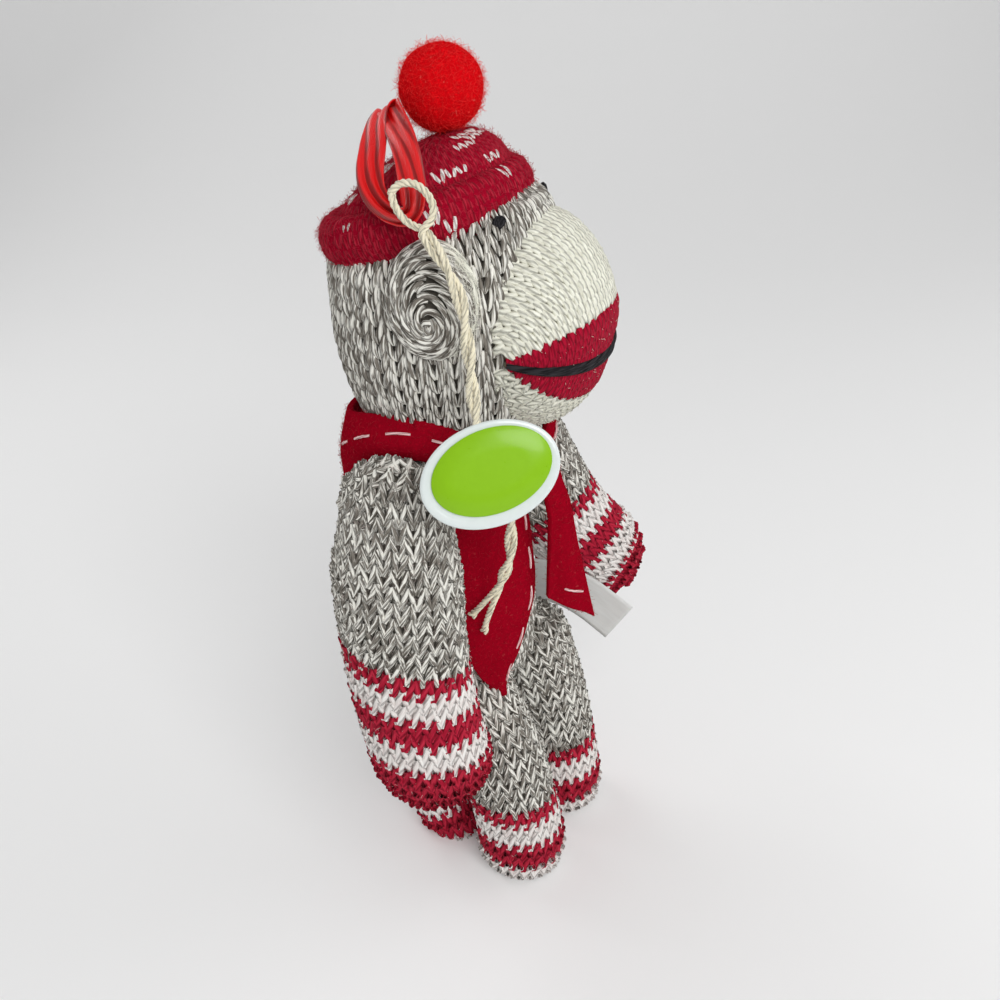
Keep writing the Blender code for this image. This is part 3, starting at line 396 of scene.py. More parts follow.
def shared_tree(name, inputs, build):
    """Return a geometry node group by name, and make it the first time.

    Its build is given the tree and the wires of its named inputs. The group ends in
    Realize Instances, smooth shading and Set Material."""
    if name in bpy.data.node_groups:
        return bpy.data.node_groups[name]
    tree = bpy.data.node_groups.new(name, "GeometryNodeTree")
    socket = tree.interface.new_socket
    for side in ("OUTPUT", "INPUT"):
        socket("Geometry", in_out=side, socket_type="NodeSocketGeometry")
    for label, default in inputs.items():
        kind = "NodeSocketInt" if isinstance(default, int) else "NodeSocketFloat"
        socket(label, in_out="INPUT", socket_type=kind).default_value = default
    socket("Material", in_out="INPUT", socket_type="NodeSocketMaterial")
    entry = tree.nodes.new("NodeGroupInput")
    given = {item.name: Wire(tree, item) for item in entry.outputs if item.name}
    real = node(tree, "GeometryNodeRealizeInstances", {0: build(tree, given)})
    smooth = node(tree, "GeometryNodeSetShadeSmooth", {0: real})
    painted = node(tree, "GeometryNodeSetMaterial", {0: smooth, 2: given["Material"]})
    tree.links.new(painted.output, tree.nodes.new("NodeGroupOutput").inputs[0])
    return tree


def evaluated(name, mesh, prepare):
    """Set up modifiers on a mesh, apply them, and return the plain mesh."""
    holder = put(name + "_holder", mesh)
    prepare(holder)
    bpy.context.view_layer.update()
    graph = bpy.context.evaluated_depsgraph_get()
    result = bpy.data.meshes.new_from_object(holder.evaluated_get(graph))
    bpy.data.objects.remove(holder)
    return result


def run_tree(name, mesh, tree, values):
    """Run a node group on a mesh and return the result as a plain mesh."""
    def prepare(holder):
        modifier = holder.modifiers.new(name, "NODES")
        modifier.node_group = tree
        for item in tree.interface.items_tree:
            if item.in_out == "INPUT" and item.name in values:
                modifier[item.identifier] = values[item.name]

    return evaluated(name, mesh, prepare)


def strand(tree, path, thickness, run, sides, fill=True):
    """Sweep a round yarn along a curve and note the place round it and along it."""
    ring = node(tree, "GeometryNodeCurvePrimitiveCircle", {"Resolution": sides,
                                                           "Radius": 1.0})
    if run:
        path = node(tree, "GeometryNodeStoreNamedAttribute",
                    {0: path, "Name": "strand_along", 3: run},
                    data_type="FLOAT", domain="POINT")
        ring = node(tree, "GeometryNodeStoreNamedAttribute",
                    {0: ring, "Name": "strand_round",
                     3: node(tree, "GeometryNodeInputPosition")},
                    data_type="FLOAT_VECTOR", domain="POINT")
    return node(tree, "GeometryNodeCurveToMesh", {
        0: path, 1: ring, "Scale": thickness * 0.5, "Fill Caps": fill})


def bezier(tree, steps, *knots):
    return node(tree, "GeometryNodeCurveQuadraticBezier", dict(
        zip(("Start", "Middle", "End"), knots), Resolution=steps))


def build_stitch(tree, given):
    """A V stitch on each point, turned by the point's own directions."""
    wide, high, lift = given["Stitch Width"], given["Row Height"], given["Lift"]

    def knot(across, up, out):
        return node(tree, "ShaderNodeCombineXYZ", {0: wide * across, 1: high * up,
                                                   2: lift * out})

    path = bezier(tree, 6, knot(0.44, 0.9, -0.7), knot(0.32, 0.05, 1.5),
                  knot(0.05, -0.7, -0.5))
    run = node(tree, "GeometryNodeSplineParameter")
    swell = (run * pi).sine() * 0.34 + 0.66
    leg = strand(tree, path, swell * given["Yarn"], run, 6, False)
    other = node(tree, "GeometryNodeTransform", {0: leg, "Scale": (-1, 1, 1)})
    other = node(tree, "GeometryNodeFlipFaces", {0: other})
    pair = node(tree, "GeometryNodeJoinGeometry", {0: [other, leg]})
    across, out, size = (node(tree, "GeometryNodeInputNamedAttribute", {"Name": label},
                              data_type="FLOAT_VECTOR")
                         for label in ("stitch_across", "stitch_out", "stitch_scale"))
    turn = node(tree, "FunctionNodeAxesToRotation", {0: out, 1: across},
                primary_axis="Z", secondary_axis="X")
    return node(tree, "GeometryNodeInstanceOnPoints", {
        0: given["Geometry"], "Instance": pair, "Rotation": turn, "Scale": size})


def build_fluff(tree, given):
    """Short bent hairs that stand off a surface, at a fixed seed."""
    scatter = tree.nodes.new("GeometryNodeDistributePointsOnFaces")
    for label, socket in (("Geometry", "Mesh"), ("Hairs per Area", "Density"),
                          ("Seed", "Seed")):
        tree.links.new(given[label].output, scatter.inputs[socket])
    points, facing = (Wire(tree, scatter.outputs[name]) for name in ("Points", "Rotation"))
    hair = given["Hair"]
    path = bezier(tree, 4, *(
        node(tree, "ShaderNodeCombineXYZ", {0: hair * across, 2: hair * out})
        for across, out in ((0.0, -0.12), (0.05, 0.55), (0.5, 0.75))))
    mesh = strand(tree, path, given["Thickness"], None, 3)
    chance = node(tree, "FunctionNodeRandomValue", {
        0: (0.35, -0.4, -4), 1: (1, 0.4, 4), "Seed": given["Seed"] + 3},
        data_type="FLOAT_VECTOR")
    lean = node(tree, "ShaderNodeVectorMath", {0: chance, "Scale": given["Lean"]},
                operation="SCALE")
    tilt = node(tree, "FunctionNodeEulerToRotation", {0: lean})
    turn = node(tree, "FunctionNodeRotateRotation", {0: facing, 1: tilt},
                rotation_space="LOCAL")
    size = node(tree, "FunctionNodeRandomValue", {2: 0.35, 3: 1.25,
                                                  "Seed": given["Seed"] + 7}, 1,
                data_type="FLOAT")
    return node(tree, "GeometryNodeInstanceOnPoints", {
        0: points, "Instance": mesh, "Rotation": turn, "Scale": size})


def build_thread(tree, given):
    """A yarn swept along each run of edges."""
    path = node(tree, "GeometryNodeMeshToCurve", {0: given["Geometry"]})
    path = node(tree, "GeometryNodeResampleCurve", {0: path, "Length": given["Step"]},
                mode="LENGTH")
    run = node(tree, "GeometryNodeSplineParameter", output=1) / (4 * MM)
    return strand(tree, path, given["Thickness"], run, 8)


def stitch_tree():
    return shared_tree("knit_stitches", {
        "Stitch Width": 3.5 * MM, "Row Height": 2.65 * MM, "Yarn": 1.4 * MM,
        "Lift": 0.5 * MM}, build_stitch)


def fluff_tree():
    return shared_tree("stray_fibres", {
        "Hairs per Area": 5.0e5, "Hair": 1.5 * MM, "Thickness": 0.045 * MM, "Lean": 1.2,
        "Seed": 1}, build_fluff)


def thread_tree():
    return shared_tree("swept_thread", {"Thickness": 1 * MM, "Step": 0.5 * MM},
                       build_thread)


# -------------------------------------------------------------- mesh helpers


def put(name, data):
    """Put data in the scene as an object."""
    item = bpy.data.objects.new(name, data)
    bpy.context.scene.collection.objects.link(item)
    return item


def add_piece(name, mesh, body, slot, *nodes):
    """Put a finished mesh in the scene, on its body when that is given as a name, and in place
    of its CAD nodes.
    """
    piece = put(name, mesh)
    if isinstance(body, str):
        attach(piece, body)
    else:
        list(body)
        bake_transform(piece)
    if nodes:
        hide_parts(*nodes)
    return piece


def skin_mesh(name, rows, closed=True, caps=True, material=None):
    """Skin rows of points; a closed skin goes all the way round."""
    bm = bmesh.new()
    rings = [[bm.verts.new(point) for point in row] for row in rows]
    for row, following in zip(rings, rings[1:]):
        count = len(row) if closed else len(row) - 1
        for i in range(count):
            j = (i + 1) % len(row)
            bm.faces.new((row[i], row[j], following[j], following[i]))
    if closed and caps:
        bm.faces.new(rings[0])
        bm.faces.new(rings[-1])
    bmesh.ops.recalc_face_normals(bm, faces=bm.faces)
    for face in bm.faces:
        face.smooth = True
    mesh = bpy.data.meshes.new(name)
    bm.to_mesh(mesh)
    bm.free()
    if material:
        mesh.materials.append(material)
    return mesh


def modified(name, mesh, **steps):
    """Apply modifiers, each a kind with its settings, and return the plain mesh."""
    def prepare(holder):
        for kind, settings in steps.items():
            modifier = holder.modifiers.new(kind, kind.upper())
            for key, value in settings.items():
                setattr(modifier, key, value)

    result = evaluated(name, mesh, prepare)
    for polygon in result.polygons:
        polygon.use_smooth = True
    return result


def smooth_route(route, step):
    """Read points at an even step from a smooth curve through a route."""
    points = [Vector(point) for point in route]
    ends = [2 * points[0] - points[1]] + points + [2 * points[-1] - points[-2]]
    fine = []
    for a, b, c, d in zip(ends, ends[1:], ends[2:], ends[3:]):
        for i in range(16):
            t = i / 16
            fine.append(0.5 * (2 * b + (c - a) * t + (2 * a - 5 * b + 4 * c - d) * t ** 2
                               + (3 * b - a - 3 * c + d) * t ** 3))
    fine.append(points[-1])
    gone = np.concatenate([[0], np.cumsum([(q - p).length for p, q in zip(fine, fine[1:])])])
    marks = np.linspace(0, gone[-1], max(2, round(gone[-1] / step)) + 1)
    table = np.array(fine)
    return [Vector([np.interp(mark, gone, table[:, k]) for k in range(3)]) for mark in marks]


def route_length(points):
    return sum((q - p).length for p, q in zip(points, points[1:]))


def wobble(points, size, pitch, seed):
    """Push points about by a smooth pattern of lumps, as loose filling does."""
    chance = np.random.RandomState(seed)
    moved = np.array(points)
    shift = np.zeros(moved.shape[:-1])
    for k in range(9):
        direction = chance.normal(size=3)
        direction /= np.linalg.norm(direction) * pitch * chance.uniform(0.7, 1.5)
        shift += np.sin(moved @ direction + chance.uniform(0, 6.28))
    return shift * size / 3


class Skin:
    """A smooth form as a grid of points: rows along it, columns round it."""

    def __init__(self, rings, lumps, seed):
        self.points = np.array([[tuple(point) for point in ring] for ring in rings])
        out = self.points - self.points.mean(1, keepdims=True)
        out /= np.linalg.norm(out, axis=2, keepdims=True) + 1e-9
        self.points += out * wobble(self.points, lumps, 9 * MM, seed)[..., None]
        steps = np.linalg.norm(np.diff(self.points, axis=0), axis=2).mean(1)
        self.run = np.concatenate([[0], np.cumsum(steps)])

    def at(self, run, turn):
        """The point a distance along the form at a turn round it, from 0 to 1."""
        row = np.interp(run, self.run, np.arange(len(self.run)))
        i = min(int(row), len(self.run) - 2)
        ring = self.points[i] + (self.points[i + 1] - self.points[i]) * (row - i)
        column = turn * len(ring)
        j = int(np.floor(column))
        part = column - j
        return ring[j % len(ring)] * (1 - part) + ring[(j + 1) % len(ring)] * part

    def girth(self, run):
        row = np.interp(run, self.run, np.arange(len(self.run)))
        ring = self.points[min(int(row), len(self.run) - 1)]
        return np.linalg.norm(np.roll(ring, -1, 0) - ring, axis=1).sum()

    def inset(self, distance):
        """Rows of points moved in from the surface."""
        rows = self.points
        along = np.gradient(rows, axis=0)
        around = np.roll(rows, -1, 1) - np.roll(rows, 1, 1)
        out = np.cross(around, along)
        out /= np.linalg.norm(out, axis=2, keepdims=True) + 1e-12
        away = rows - rows.mean((0, 1))
        if (out * away).sum() < 0:
            out = -out
        return rows - out * distance


class Stitches:
    """A list of stitch places with their directions, sizes and yarn."""

    def __init__(self, wale, course, seed=3):
        self.wale = wale
        self.course = course
        self.rows = {}
        self.chance = np.random.RandomState(seed)

    def add(self, centre, across, up, yarn_name, bend=0.0):
        """Note a stitch; its bend is how far the surface falls away along it."""
        out = np.cross(across, up)
        size = np.linalg.norm(out)
        if size < 1e-12:
            return
        out /= size
        lean = self.chance.normal(0, 0.05)
        width, height = np.linalg.norm(across), np.linalg.norm(up)
        level = min(5, round(bend / (0.2 * MM)))
        self.rows.setdefault((yarn_name, level), []).append((
            centre + out * (self.chance.normal(0, 0.05) - 0.07 * level) * MM,
            across + up * lean, out,
            (width / self.wale * self.chance.uniform(0.94, 1.06),
             height / self.course * self.chance.uniform(0.95, 1.05), 1.0),
            self.chance.uniform()))

    def mesh(self, name, key):
        """The places of one yarn and bend as loose points with attributes."""
        rows = self.rows[key]
        mesh = bpy.data.meshes.new(name)
        mesh.from_pydata([tuple(row[0]) for row in rows], [], [])
        for label, column in (("stitch_across", 1), ("stitch_out", 2), ("stitch_scale", 3)):
            values = np.array([row[column] for row in rows], np.float32).ravel()
            mesh.attributes.new(label, "FLOAT_VECTOR", "POINT").data.foreach_set(
                "vector", values)
        seeds = np.array([row[4] for row in rows], np.float32)
        mesh.attributes.new("strand_seed", "FLOAT", "POINT").data.foreach_set("value", seeds)
        return mesh

    def cover(self, skin, start, end, yarn_of, keep=None, counts=None, lean=0.0,
              lean_turn=0.0, low_fade=False, floor=None):
        """Lay rows of stitches on a skin between two distances along it.

        A lean tilts the rows, most at the end of the span or, faded low, at its start.
        Stitches stay above a floor, if one is given."""
        courses = max(1, round((end - start) / self.course))
        height = (end - start) / courses
        wales = counts or round(max(skin.girth(run) for run in
                                    np.linspace(start, end, 12)) / self.wale)
        wales += wales % 4 and 4 - wales % 4
        for k in range(courses):
            run = start + height * (k + 0.5)
            number = wales
            while number > 6 and skin.girth(run) / number < 0.56 * self.wale:
                number //= 2
            for j in range(number):
                turn = (j + 0.5) / number
                half = 0.5 / number
                share = (k + 0.5) / courses
                weight = sqrt(1 - share) if low_fade else share * share

                def at(distance, side):
                    tilt = lean * weight * cos(2 * pi * (side - lean_turn))
                    return skin.at(max(distance + tilt, 0), side)

                centre = at(run, turn)
                if keep and not keep(centre):
                    continue
                across = at(run, turn + half) - at(run, turn - half)
                up = at(run - height / 2, turn) - at(run + height / 2, turn)
                ends = at(run - 0.9 * height, turn) + at(run + 0.9 * height, turn)
                bend = np.linalg.norm(centre - ends / 2)
                if floor is not None:
                    centre = np.array((*centre[:2], max(centre[2], floor)))
                    drop = 0.75 * abs(up[2]) / max(centre[2] - 0.6 * floor, 0.2 * MM)
                    up = up / max(1, min(drop, 2.2))
                self.add(centre, across, up, yarn_of(k, j, courses), bend)


def knit(name, stitches, yarns, thickness, lift, body, slot, nodes):
    """Turn stitch places into one knitted piece."""
    meshes = []
    for yarn_name, level in stitches.rows:
        places = stitches.mesh(name, (yarn_name, level))
        meshes.append(run_tree(name, places, stitch_tree(), {
            "Stitch Width": stitches.wale, "Row Height": stitches.course,
            "Yarn": thickness, "Lift": lift + 0.15 * level * MM,
            "Material": yarns[yarn_name]}))
    return add_piece(name, joined(name, meshes), body, slot, *nodes)


def joined(name, meshes):
    """Join meshes into one, keeping their materials and attributes."""
    if len(meshes) == 1:
        meshes[0].name = name
        return meshes[0]
    holders = [put(name, mesh) for mesh in meshes]
    with bpy.context.temp_override(active_object=holders[0], selected_objects=holders,
                                   selected_editable_objects=holders):
        bpy.ops.object.join()
    mesh = holders[0].data
    bpy.data.objects.remove(holders[0])
    mesh.name = name
    return mesh


def fuzz(name, source, per_area, hair, material, body, slot, seed, lean=1.2, size=1.0):
    """Cover a surface with stray fibres, as a piece of its own."""
    mesh = run_tree(name, source.copy(), fluff_tree(), {
        "Hairs per Area": per_area / MM ** 2, "Hair": hair,
        "Thickness": felt().hair_size * size, "Lean": lean, "Seed": seed,
        "Material": material})
    return add_piece(name, mesh, body, slot)


def sweep(name, runs, thickness, step, material):
    """Sweep a yarn along lists of points."""
    mesh = bpy.data.meshes.new(name + "_path")
    points, edges, seeds = [], [], []
    chance = np.random.RandomState(7)
    for run in runs:
        first = len(points)
        points += [tuple(point) for point in run]
        seeds += [chance.uniform()] * len(run)
        edges += [(first + i, first + i + 1) for i in range(len(run) - 1)]
    mesh.from_pydata(points, edges, [])
    mesh.attributes.new("strand_seed", "FLOAT", "POINT").data.foreach_set("value", seeds)
    return run_tree(name, mesh, thread_tree(), {
        "Thickness": thickness, "Step": step, "Material": material})


# ------------------------------------------------------------ the doll's forms


def circle(count):
    """Even turns round a circle."""
    return [2 * pi * i / count for i in range(count)]


def ellipse(centre, side, front, count):
    return [centre + side * cos(turn) + front * sin(turn) + STANCE for turn in circle(count)]


class Barrel:
    """A stuffed form with level elliptical sections."""

    def __init__(self, shares, bottom, top, half_width, half_depth, middle, bulge):
        self.shares = np.array(shares)
        self.bottom, self.top = bottom * MM, top * MM
        self.half_width, self.half_depth = half_width * MM, half_depth * MM
        self.middle, self.bulge = middle * MM, bulge * MM

    def section(self, height):
        share = min(max((height - self.bottom) / (self.top - self.bottom), 0), 1)
        wide, deep, back = (np.interp(share, self.shares[:, 0], self.shares[:, k])
                            for k in (1, 2, 3))
        return (self.middle + self.bulge * back, self.half_width * wide,
                self.half_depth * deep)

    def rings(self, sides=64):
        """Rings from the top down, evenly spaced along the smoothed outline."""
        squash = 0.4
        outline = smooth_route([(row[0], row[1] * squash, row[2] * squash)
                                for row in self.shares], 0.02)
        rings = []
        for point in reversed(outline):
            share = min(max(point.x, 0), 1)
            back = np.interp(share, self.shares[:, 0], self.shares[:, 3])
            height = self.bottom + (self.top - self.bottom) * share
            rings.append(ellipse(
                Vector((0, self.middle + self.bulge * back, height)),
                Vector((self.half_width * point.y / squash, 0, 0)),
                Vector((0, self.half_depth * point.z / squash, 0)), sides))
        return rings

    def front_at(self, side, height, standoff):
        back, width, depth = self.section(height)
        share = min(abs(side) / (width + standoff), 0.96)
        return Vector((side, back - (depth + standoff) * sqrt(1 - share * share), height))


TORSO = Barrel((
    (0.00, 0.42, 0.38, 0.1), (0.04, 0.66, 0.62, 0.1), (0.12, 0.86, 0.82, 0.1),
    (0.25, 0.97, 0.94, 0.3), (0.44, 1.00, 1.00, 0.6), (0.68, 0.95, 0.94, 1.0),
    (0.84, 0.93, 0.80, 0.9), (0.94, 0.82, 0.66, 0.6), (0.98, 0.50, 0.54, 0.5),
    (1.00, 0.44, 0.48, 0.32)), 46.5, 104.6, 17, 14.5, 1, 2.5)
HEAD = Barrel((
    (0.00, 0.36, 0.36, 1.0), (0.07, 0.63, 0.64, -0.2), (0.21, 0.87, 0.87, -0.2),
    (0.41, 1.00, 0.99, -0.25), (0.61, 1.00, 1.00, 0.0), (0.75, 0.97, 0.96, 0.3),
    (0.83, 0.89, 0.89, 0.1), (0.89, 0.78, 0.80, -0.5), (0.94, 0.64, 0.68, -1.0),
    (0.98, 0.40, 0.42, -1.4), (1.00, 0.15, 0.15, -1.5)), 105.4, 156, 22.4, 21.9, 0, 1.8)


class Limb:
    """A stuffed tube with a ball at its root and a rounded end."""

    def __init__(self, root, reach, bow, root_sizes, sizes, rounding, sole):
        self.root, self.reach, self.bow = (Vector(item) * MM for item in (root, reach, bow))
        self.root_sizes = [size * MM for size in root_sizes]
        self.sizes = [size * MM for size in sizes]
        self.sole = sole
        self.stands = abs((self.root + self.reach).z) < 0.1 * MM
        self.length = self.reach.length
        self.tip_start = 1 - rounding * MM / (self.reach - self.bow * 4).length

    def frame(self, along):
        """The sideways and the forward direction of a section across the limb."""
        side = (Vector((1, 0, 0)) - along * along.x).normalized()
        return side, along.cross(side)

    def ring(self, share, sides, shrink=1.0):
        bend = max(share, 0)
        along = (self.reach + self.bow * (4 * (1 - 2 * bend))).normalized()
        centre = self.root + self.reach * bend + self.bow * (4 * bend * (1 - bend))
        centre += along * (self.length * (share - bend))
        side, front = self.frame(along)
        swell = min(max(share / 0.25, 0), 1)
        swell = swell * swell * (3 - 2 * swell)
        half = [a + (b - a) * swell for a, b in zip(self.root_sizes, self.sizes)]
        scale = 1.0
        if share < 0:
            scale = sqrt(max(0, 1 - (share * self.length / self.root_sizes[0]) ** 2))
        if share > self.tip_start:
            turn = min((share - self.tip_start) / (1 - self.tip_start), 1)
            scale = self.sole + (1 - self.sole) * sqrt(max(0, 1 - turn * turn))
            if self.stands:
                side, front = self.frame(along.lerp(Vector((0, 0, -1)), turn).normalized())
        scale *= shrink
        return ellipse(centre, side * (half[0] * scale), front * (half[1] * scale), sides)

    def rings(self, sides=48):
        start = -self.root_sizes[0] / self.length
        shares = [start * cos(radians(turn)) for turn in range(10, 90, 8)]
        shares += [self.tip_start * i / 40 for i in range(40)]
        shares += [self.tip_start + (1 - self.tip_start) * sin(radians(turn))
                   for turn in range(0, 91, 6)]
        return [self.ring(shares[0], sides, 0.15),
                *(self.ring(share, sides) for share in shares),
                *(self.ring(1.0, sides, part) for part in (0.8, 0.6, 0.4, 0.22))]

    def run_at(self, skin, share):
        """The distance along the skin at a share of the reach."""
        where = np.array(self.ring(share, 48)[0])
        return skin.run[int(np.argmin(np.linalg.norm(skin.points[:, 0] - where, axis=1)))]


def arm(side, reach, bow, half_depth):
    return Limb((side * 25.2, 3, 103), reach, bow, (8.2, 10.2), (9.5, half_depth), 12, 0.22)


def leg(side, foot_setback):
    root = (side * 10, -5 - side * 3.5, 48)
    reach = (side * 11 - root[0], foot_setback - root[1], -48)
    return Limb(root, reach, (reach[0] / 4, reach[1] / 4, 0), (9, 9), (9.3, 9.5), 9, 0.5)


def tail():
    root = (-2, 14, 50)
    reach = (-6.6 - root[0], 5.8 - root[1], -50)
    return Limb(root, reach, (reach[0] / 4, 5, 0), (6, 6), (6.9, 6.9), 7, 0.55)


MUZZLE_MIDDLE = Vector((0, -16.2, 129.6)) * MM
MUZZLE = {"side": 17.4 * MM, "front": 14.6 * MM, "recess": 1.3 * MM, "top": 21.5 * MM,
          "bottom": 17.5 * MM}
LIP_TOP, MOUTH, LIP_BOTTOM = (radians(turn) for turn in (12, -11, -36))


def muzzle_point(angle, sweep, growth=0.0):
    """A point of the muzzle: angle turns up from the front, sweep from side to side."""
    height = MUZZLE["top"] if angle > 0 else MUZZLE["bottom"]
    sink = min(max((LIP_TOP - angle) / (LIP_TOP - MOUTH), 0), 1)
    front = MUZZLE["front"] - MUZZLE["recess"] * sink
    ahead = (front + growth) * cos(angle) * cos(sweep)
    rise = (height + growth) * sin(angle) * cos(sweep)
    side = (MUZZLE["side"] + growth) * sin(sweep)
    return MUZZLE_MIDDLE + Vector((side, -ahead, rise)) + STANCE


def in_muzzle(point, growth=0.0):
    gap = Vector(point) - STANCE - MUZZLE_MIDDLE
    height = MUZZLE["top"] if gap.z > 0 else MUZZLE["bottom"]
    sizes = (MUZZLE["side"], MUZZLE["front"], height)
    return sum((a / (b + growth)) ** 2 for a, b in zip(gap, sizes)) < 1


def in_head(point, growth=0.0):
    place = Vector(point) - STANCE
    if not HEAD.bottom < place.z < HEAD.top:
        return False
    back, width, depth = HEAD.section(place.z)
    return (place.x / (width + growth)) ** 2 + ((place.y - back) / (depth + growth)) ** 2 < 1


# --------------------------------------------------------------- the operators


class Builder:
    """What the operators share: each builds its pieces and finishes."""

    bl_options = {"REGISTER", "UNDO"}

    def execute(self, context):
        self.build(context)
        return {"FINISHED"}


def look_matrix(azimuth, elevation, roll, target, distance):
    """The camera's place and turn, from the way the photograph looks at the doll."""
    a, e, r = (radians(turn) for turn in (azimuth, elevation, roll))
    back = Vector((sin(a) * cos(e), -cos(a) * cos(e), sin(e)))
    right = Vector((cos(a), sin(a), 0))
    up = back.cross(right)
    side = right * cos(r) + up * sin(r)
    top = up * cos(r) - right * sin(r)
    turn = Matrix((side, top, back)).transposed().to_4x4()
    return Matrix.Translation(target + back * distance) @ turn


class DOLL_OT_stage(Builder, bpy.types.Operator):
    """Set up the camera, the soft lamps, the pale floor and its backdrop"""

    bl_idname = "doll.stage"
    bl_label = "Stage"

    def build(self, context):
        stage = context.scene.doll_stage
        camera = put("camera", bpy.data.cameras.new("camera"))
        camera.data.lens = 37.08
        camera.data.sensor_width = 36
        camera.data.clip_start = 5 * MM
        camera.matrix_world = look_matrix(VIEW_TURN, 30, -3.5,
                                          Vector((18.3, 3.6, 79.5)) * MM, 235 * MM)
        context.scene.camera = camera
        context.scene.view_settings.view_transform = "Standard"

        paint = Paint("stage_paper", 0.9, specular_ior_level=0.1)
        paint.set("Base Color", (*stage.floor, 1))
        glow = paint.node("ShaderNodeEmission", {"Color": (*stage.floor, 1),
                                                 "Strength": 1.0})
        seen = paint.node("ShaderNodeLightPath", output="Is Glossy Ray")
        mixed = paint.node("ShaderNodeMixShader", {
            0: seen, 1: Wire(paint.tree, paint.shader.outputs[0]), 2: glow})
        out = paint.tree.nodes["Material Output"]
        paint.tree.links.new(mixed.output, out.inputs["Surface"])
        profile = [(-900, 0), (260, 0), (420, 12), (540, 60), (610, 150), (640, 300),
                   (650, 900)]
        turn = Matrix.Rotation(radians(VIEW_TURN), 3, "Z")
        rows = [[turn @ Vector((side, depth, height)) * MM for side in (-1300, 1300)]
                for depth, height in profile]
        mesh = skin_mesh("backdrop", rows, closed=False, material=paint.material)
        put("backdrop", modified("backdrop", mesh, subsurf={
            "levels": 2, "render_levels": 2}))

        for name, place, size, power in (
                ("key_lamp", (-330, -300, 420), 320, stage.key),
                ("fill_lamp", (250, -420, 260), 380, stage.fill),
                ("rim_lamp", (150, 380, 380), 260, stage.fill)):
            lamp = bpy.data.lights.new(name, "AREA")
            lamp.size = size * MM
            lamp.energy = power
            item = put(name, lamp)
            item.location = Vector(place) * MM
            aim = Vector((0, 0, 90)) * MM - item.location
            item.rotation_euler = aim.to_track_quat("-Z", "Y").to_euler()
        world = bpy.data.worlds.new("even_light")
        world.use_nodes = True
        background = world.node_tree.nodes["Background"]
        background.inputs["Color"].default_value = (1, 1, 1, 1)
        background.inputs["Strength"].default_value = stage.sky
        context.scene.world = world


NOOSE_ROUTES = (
    ((-26.6, -3.1, 160.0), (-26.4, -3.3, 158.0), (-26.3, -4.5, 156.0), (-26.8, -6.5, 155.0)),
    ((-26.6, -3.1, 160.0), (-26.6, -4.8, 161.3), (-26.7, -7.3, 161.3), (-26.9, -9.2, 160.0),
     (-27.0, -10.1, 158.1), (-27.2, -9.7, 156.2)),
)
STRING_ROUTE = (
    (-27.5, -8.4, 154.5), (-27.8, -9.7, 152.5), (-28.0, -11.1, 150.5), (-28.0, -12.4, 148.0),
    (-28.0, -13.5, 145.2), (-27.8, -14.0, 141.8), (-27.4, -14.2, 137.3), (-26.6, -14.1, 130.2),
    (-27.0, -14.6, 123.3), (-27.4, -16.0, 118.3), (-26.2, -17.3, 111.0), (-23.3, -17.6, 104.2),
    (-19.8, -16.9, 98.7), (-19.1, -16.1, 91.3), (-18.8, -14.7, 87.0),
)
STRING_ENDS = (
    ((-18.4, -12.2, 82.1), (-18.3, -9.8, 78.8), (-18.3, -7.0, 75.2)),
    ((-17.9, -13.2, 82.7), (-18.0, -11.7, 79.0), (-18.0, -9.9, 74.0), (-18.0, -9.3, 71.4)),
)
RIBBON_ROUTE = (
    (-5.6, 4.6, 162.2), (-6.4, 5.6, 166.6), (-8.0, 5.6, 169.0), (-11.5, 5.7, 167.8),
    (-16.6, 4.4, 164.4), (-20.0, 3.6, 161.5), (-22.2, 2.3, 159.1), (-23.6, 0.1, 157.0),
    (-24.4, -2.8, 155.9), (-24.4, -4.9, 156.5), (-23.4, -5.2, 158.8), (-21.4, -4.2, 161.2),
    (-17.4, -1.7, 164.7), (-13.2, 1.6, 167.4), (-9.8, 4.2, 169.2),
)


def placed(route):
    return [Vector(point) * MM + STANCE for point in route]


def headings(points):
    """The direction of a route at each of its points."""
    return [(after - before).normalized()
            for before, after in zip(points[:1] + points, points[1:] + points[-1:])]


def plied(points, thickness, plies, pitch, splay=0.0):
    """The routes of plies that twist round a route and may spread at its end."""
    strand_size = thickness / (1 + 1 / sin(pi / plies))
    radius = thickness / 2 - strand_size / 2
    side = Vector((1, 0, 0))
    routes = [[] for _ in range(plies)]
    gone = 0.0
    for i, (point, along) in enumerate(zip(points, headings(points))):
        side = (side - along * side.dot(along)).normalized()
        over = along.cross(side)
        for k, route in enumerate(routes):
            turn = 2 * pi * (k / plies + gone / pitch)
            spread = radius * (1 + splay * max(0, (i + 7 - len(points)) / 6) ** 2)
            route.append(point + (side * cos(turn) + over * sin(turn)) * spread)
        if i + 1 < len(points):
            gone += (points[i + 1] - point).length
    return routes, strand_size


def string_routes(size):
    """Two routes: a noose round the ribbon, a stretch wound together, and two ends."""
    shared = plied(smooth_route(placed(STRING_ROUTE), 0.35 * MM), 2 * size, 2, 17 * MM)[0]
    return [smooth_route(placed(noose) + wound[::6] + placed(end), 0.35 * MM)
            for noose, wound, end in zip(NOOSE_ROUTES, shared, STRING_ENDS)]


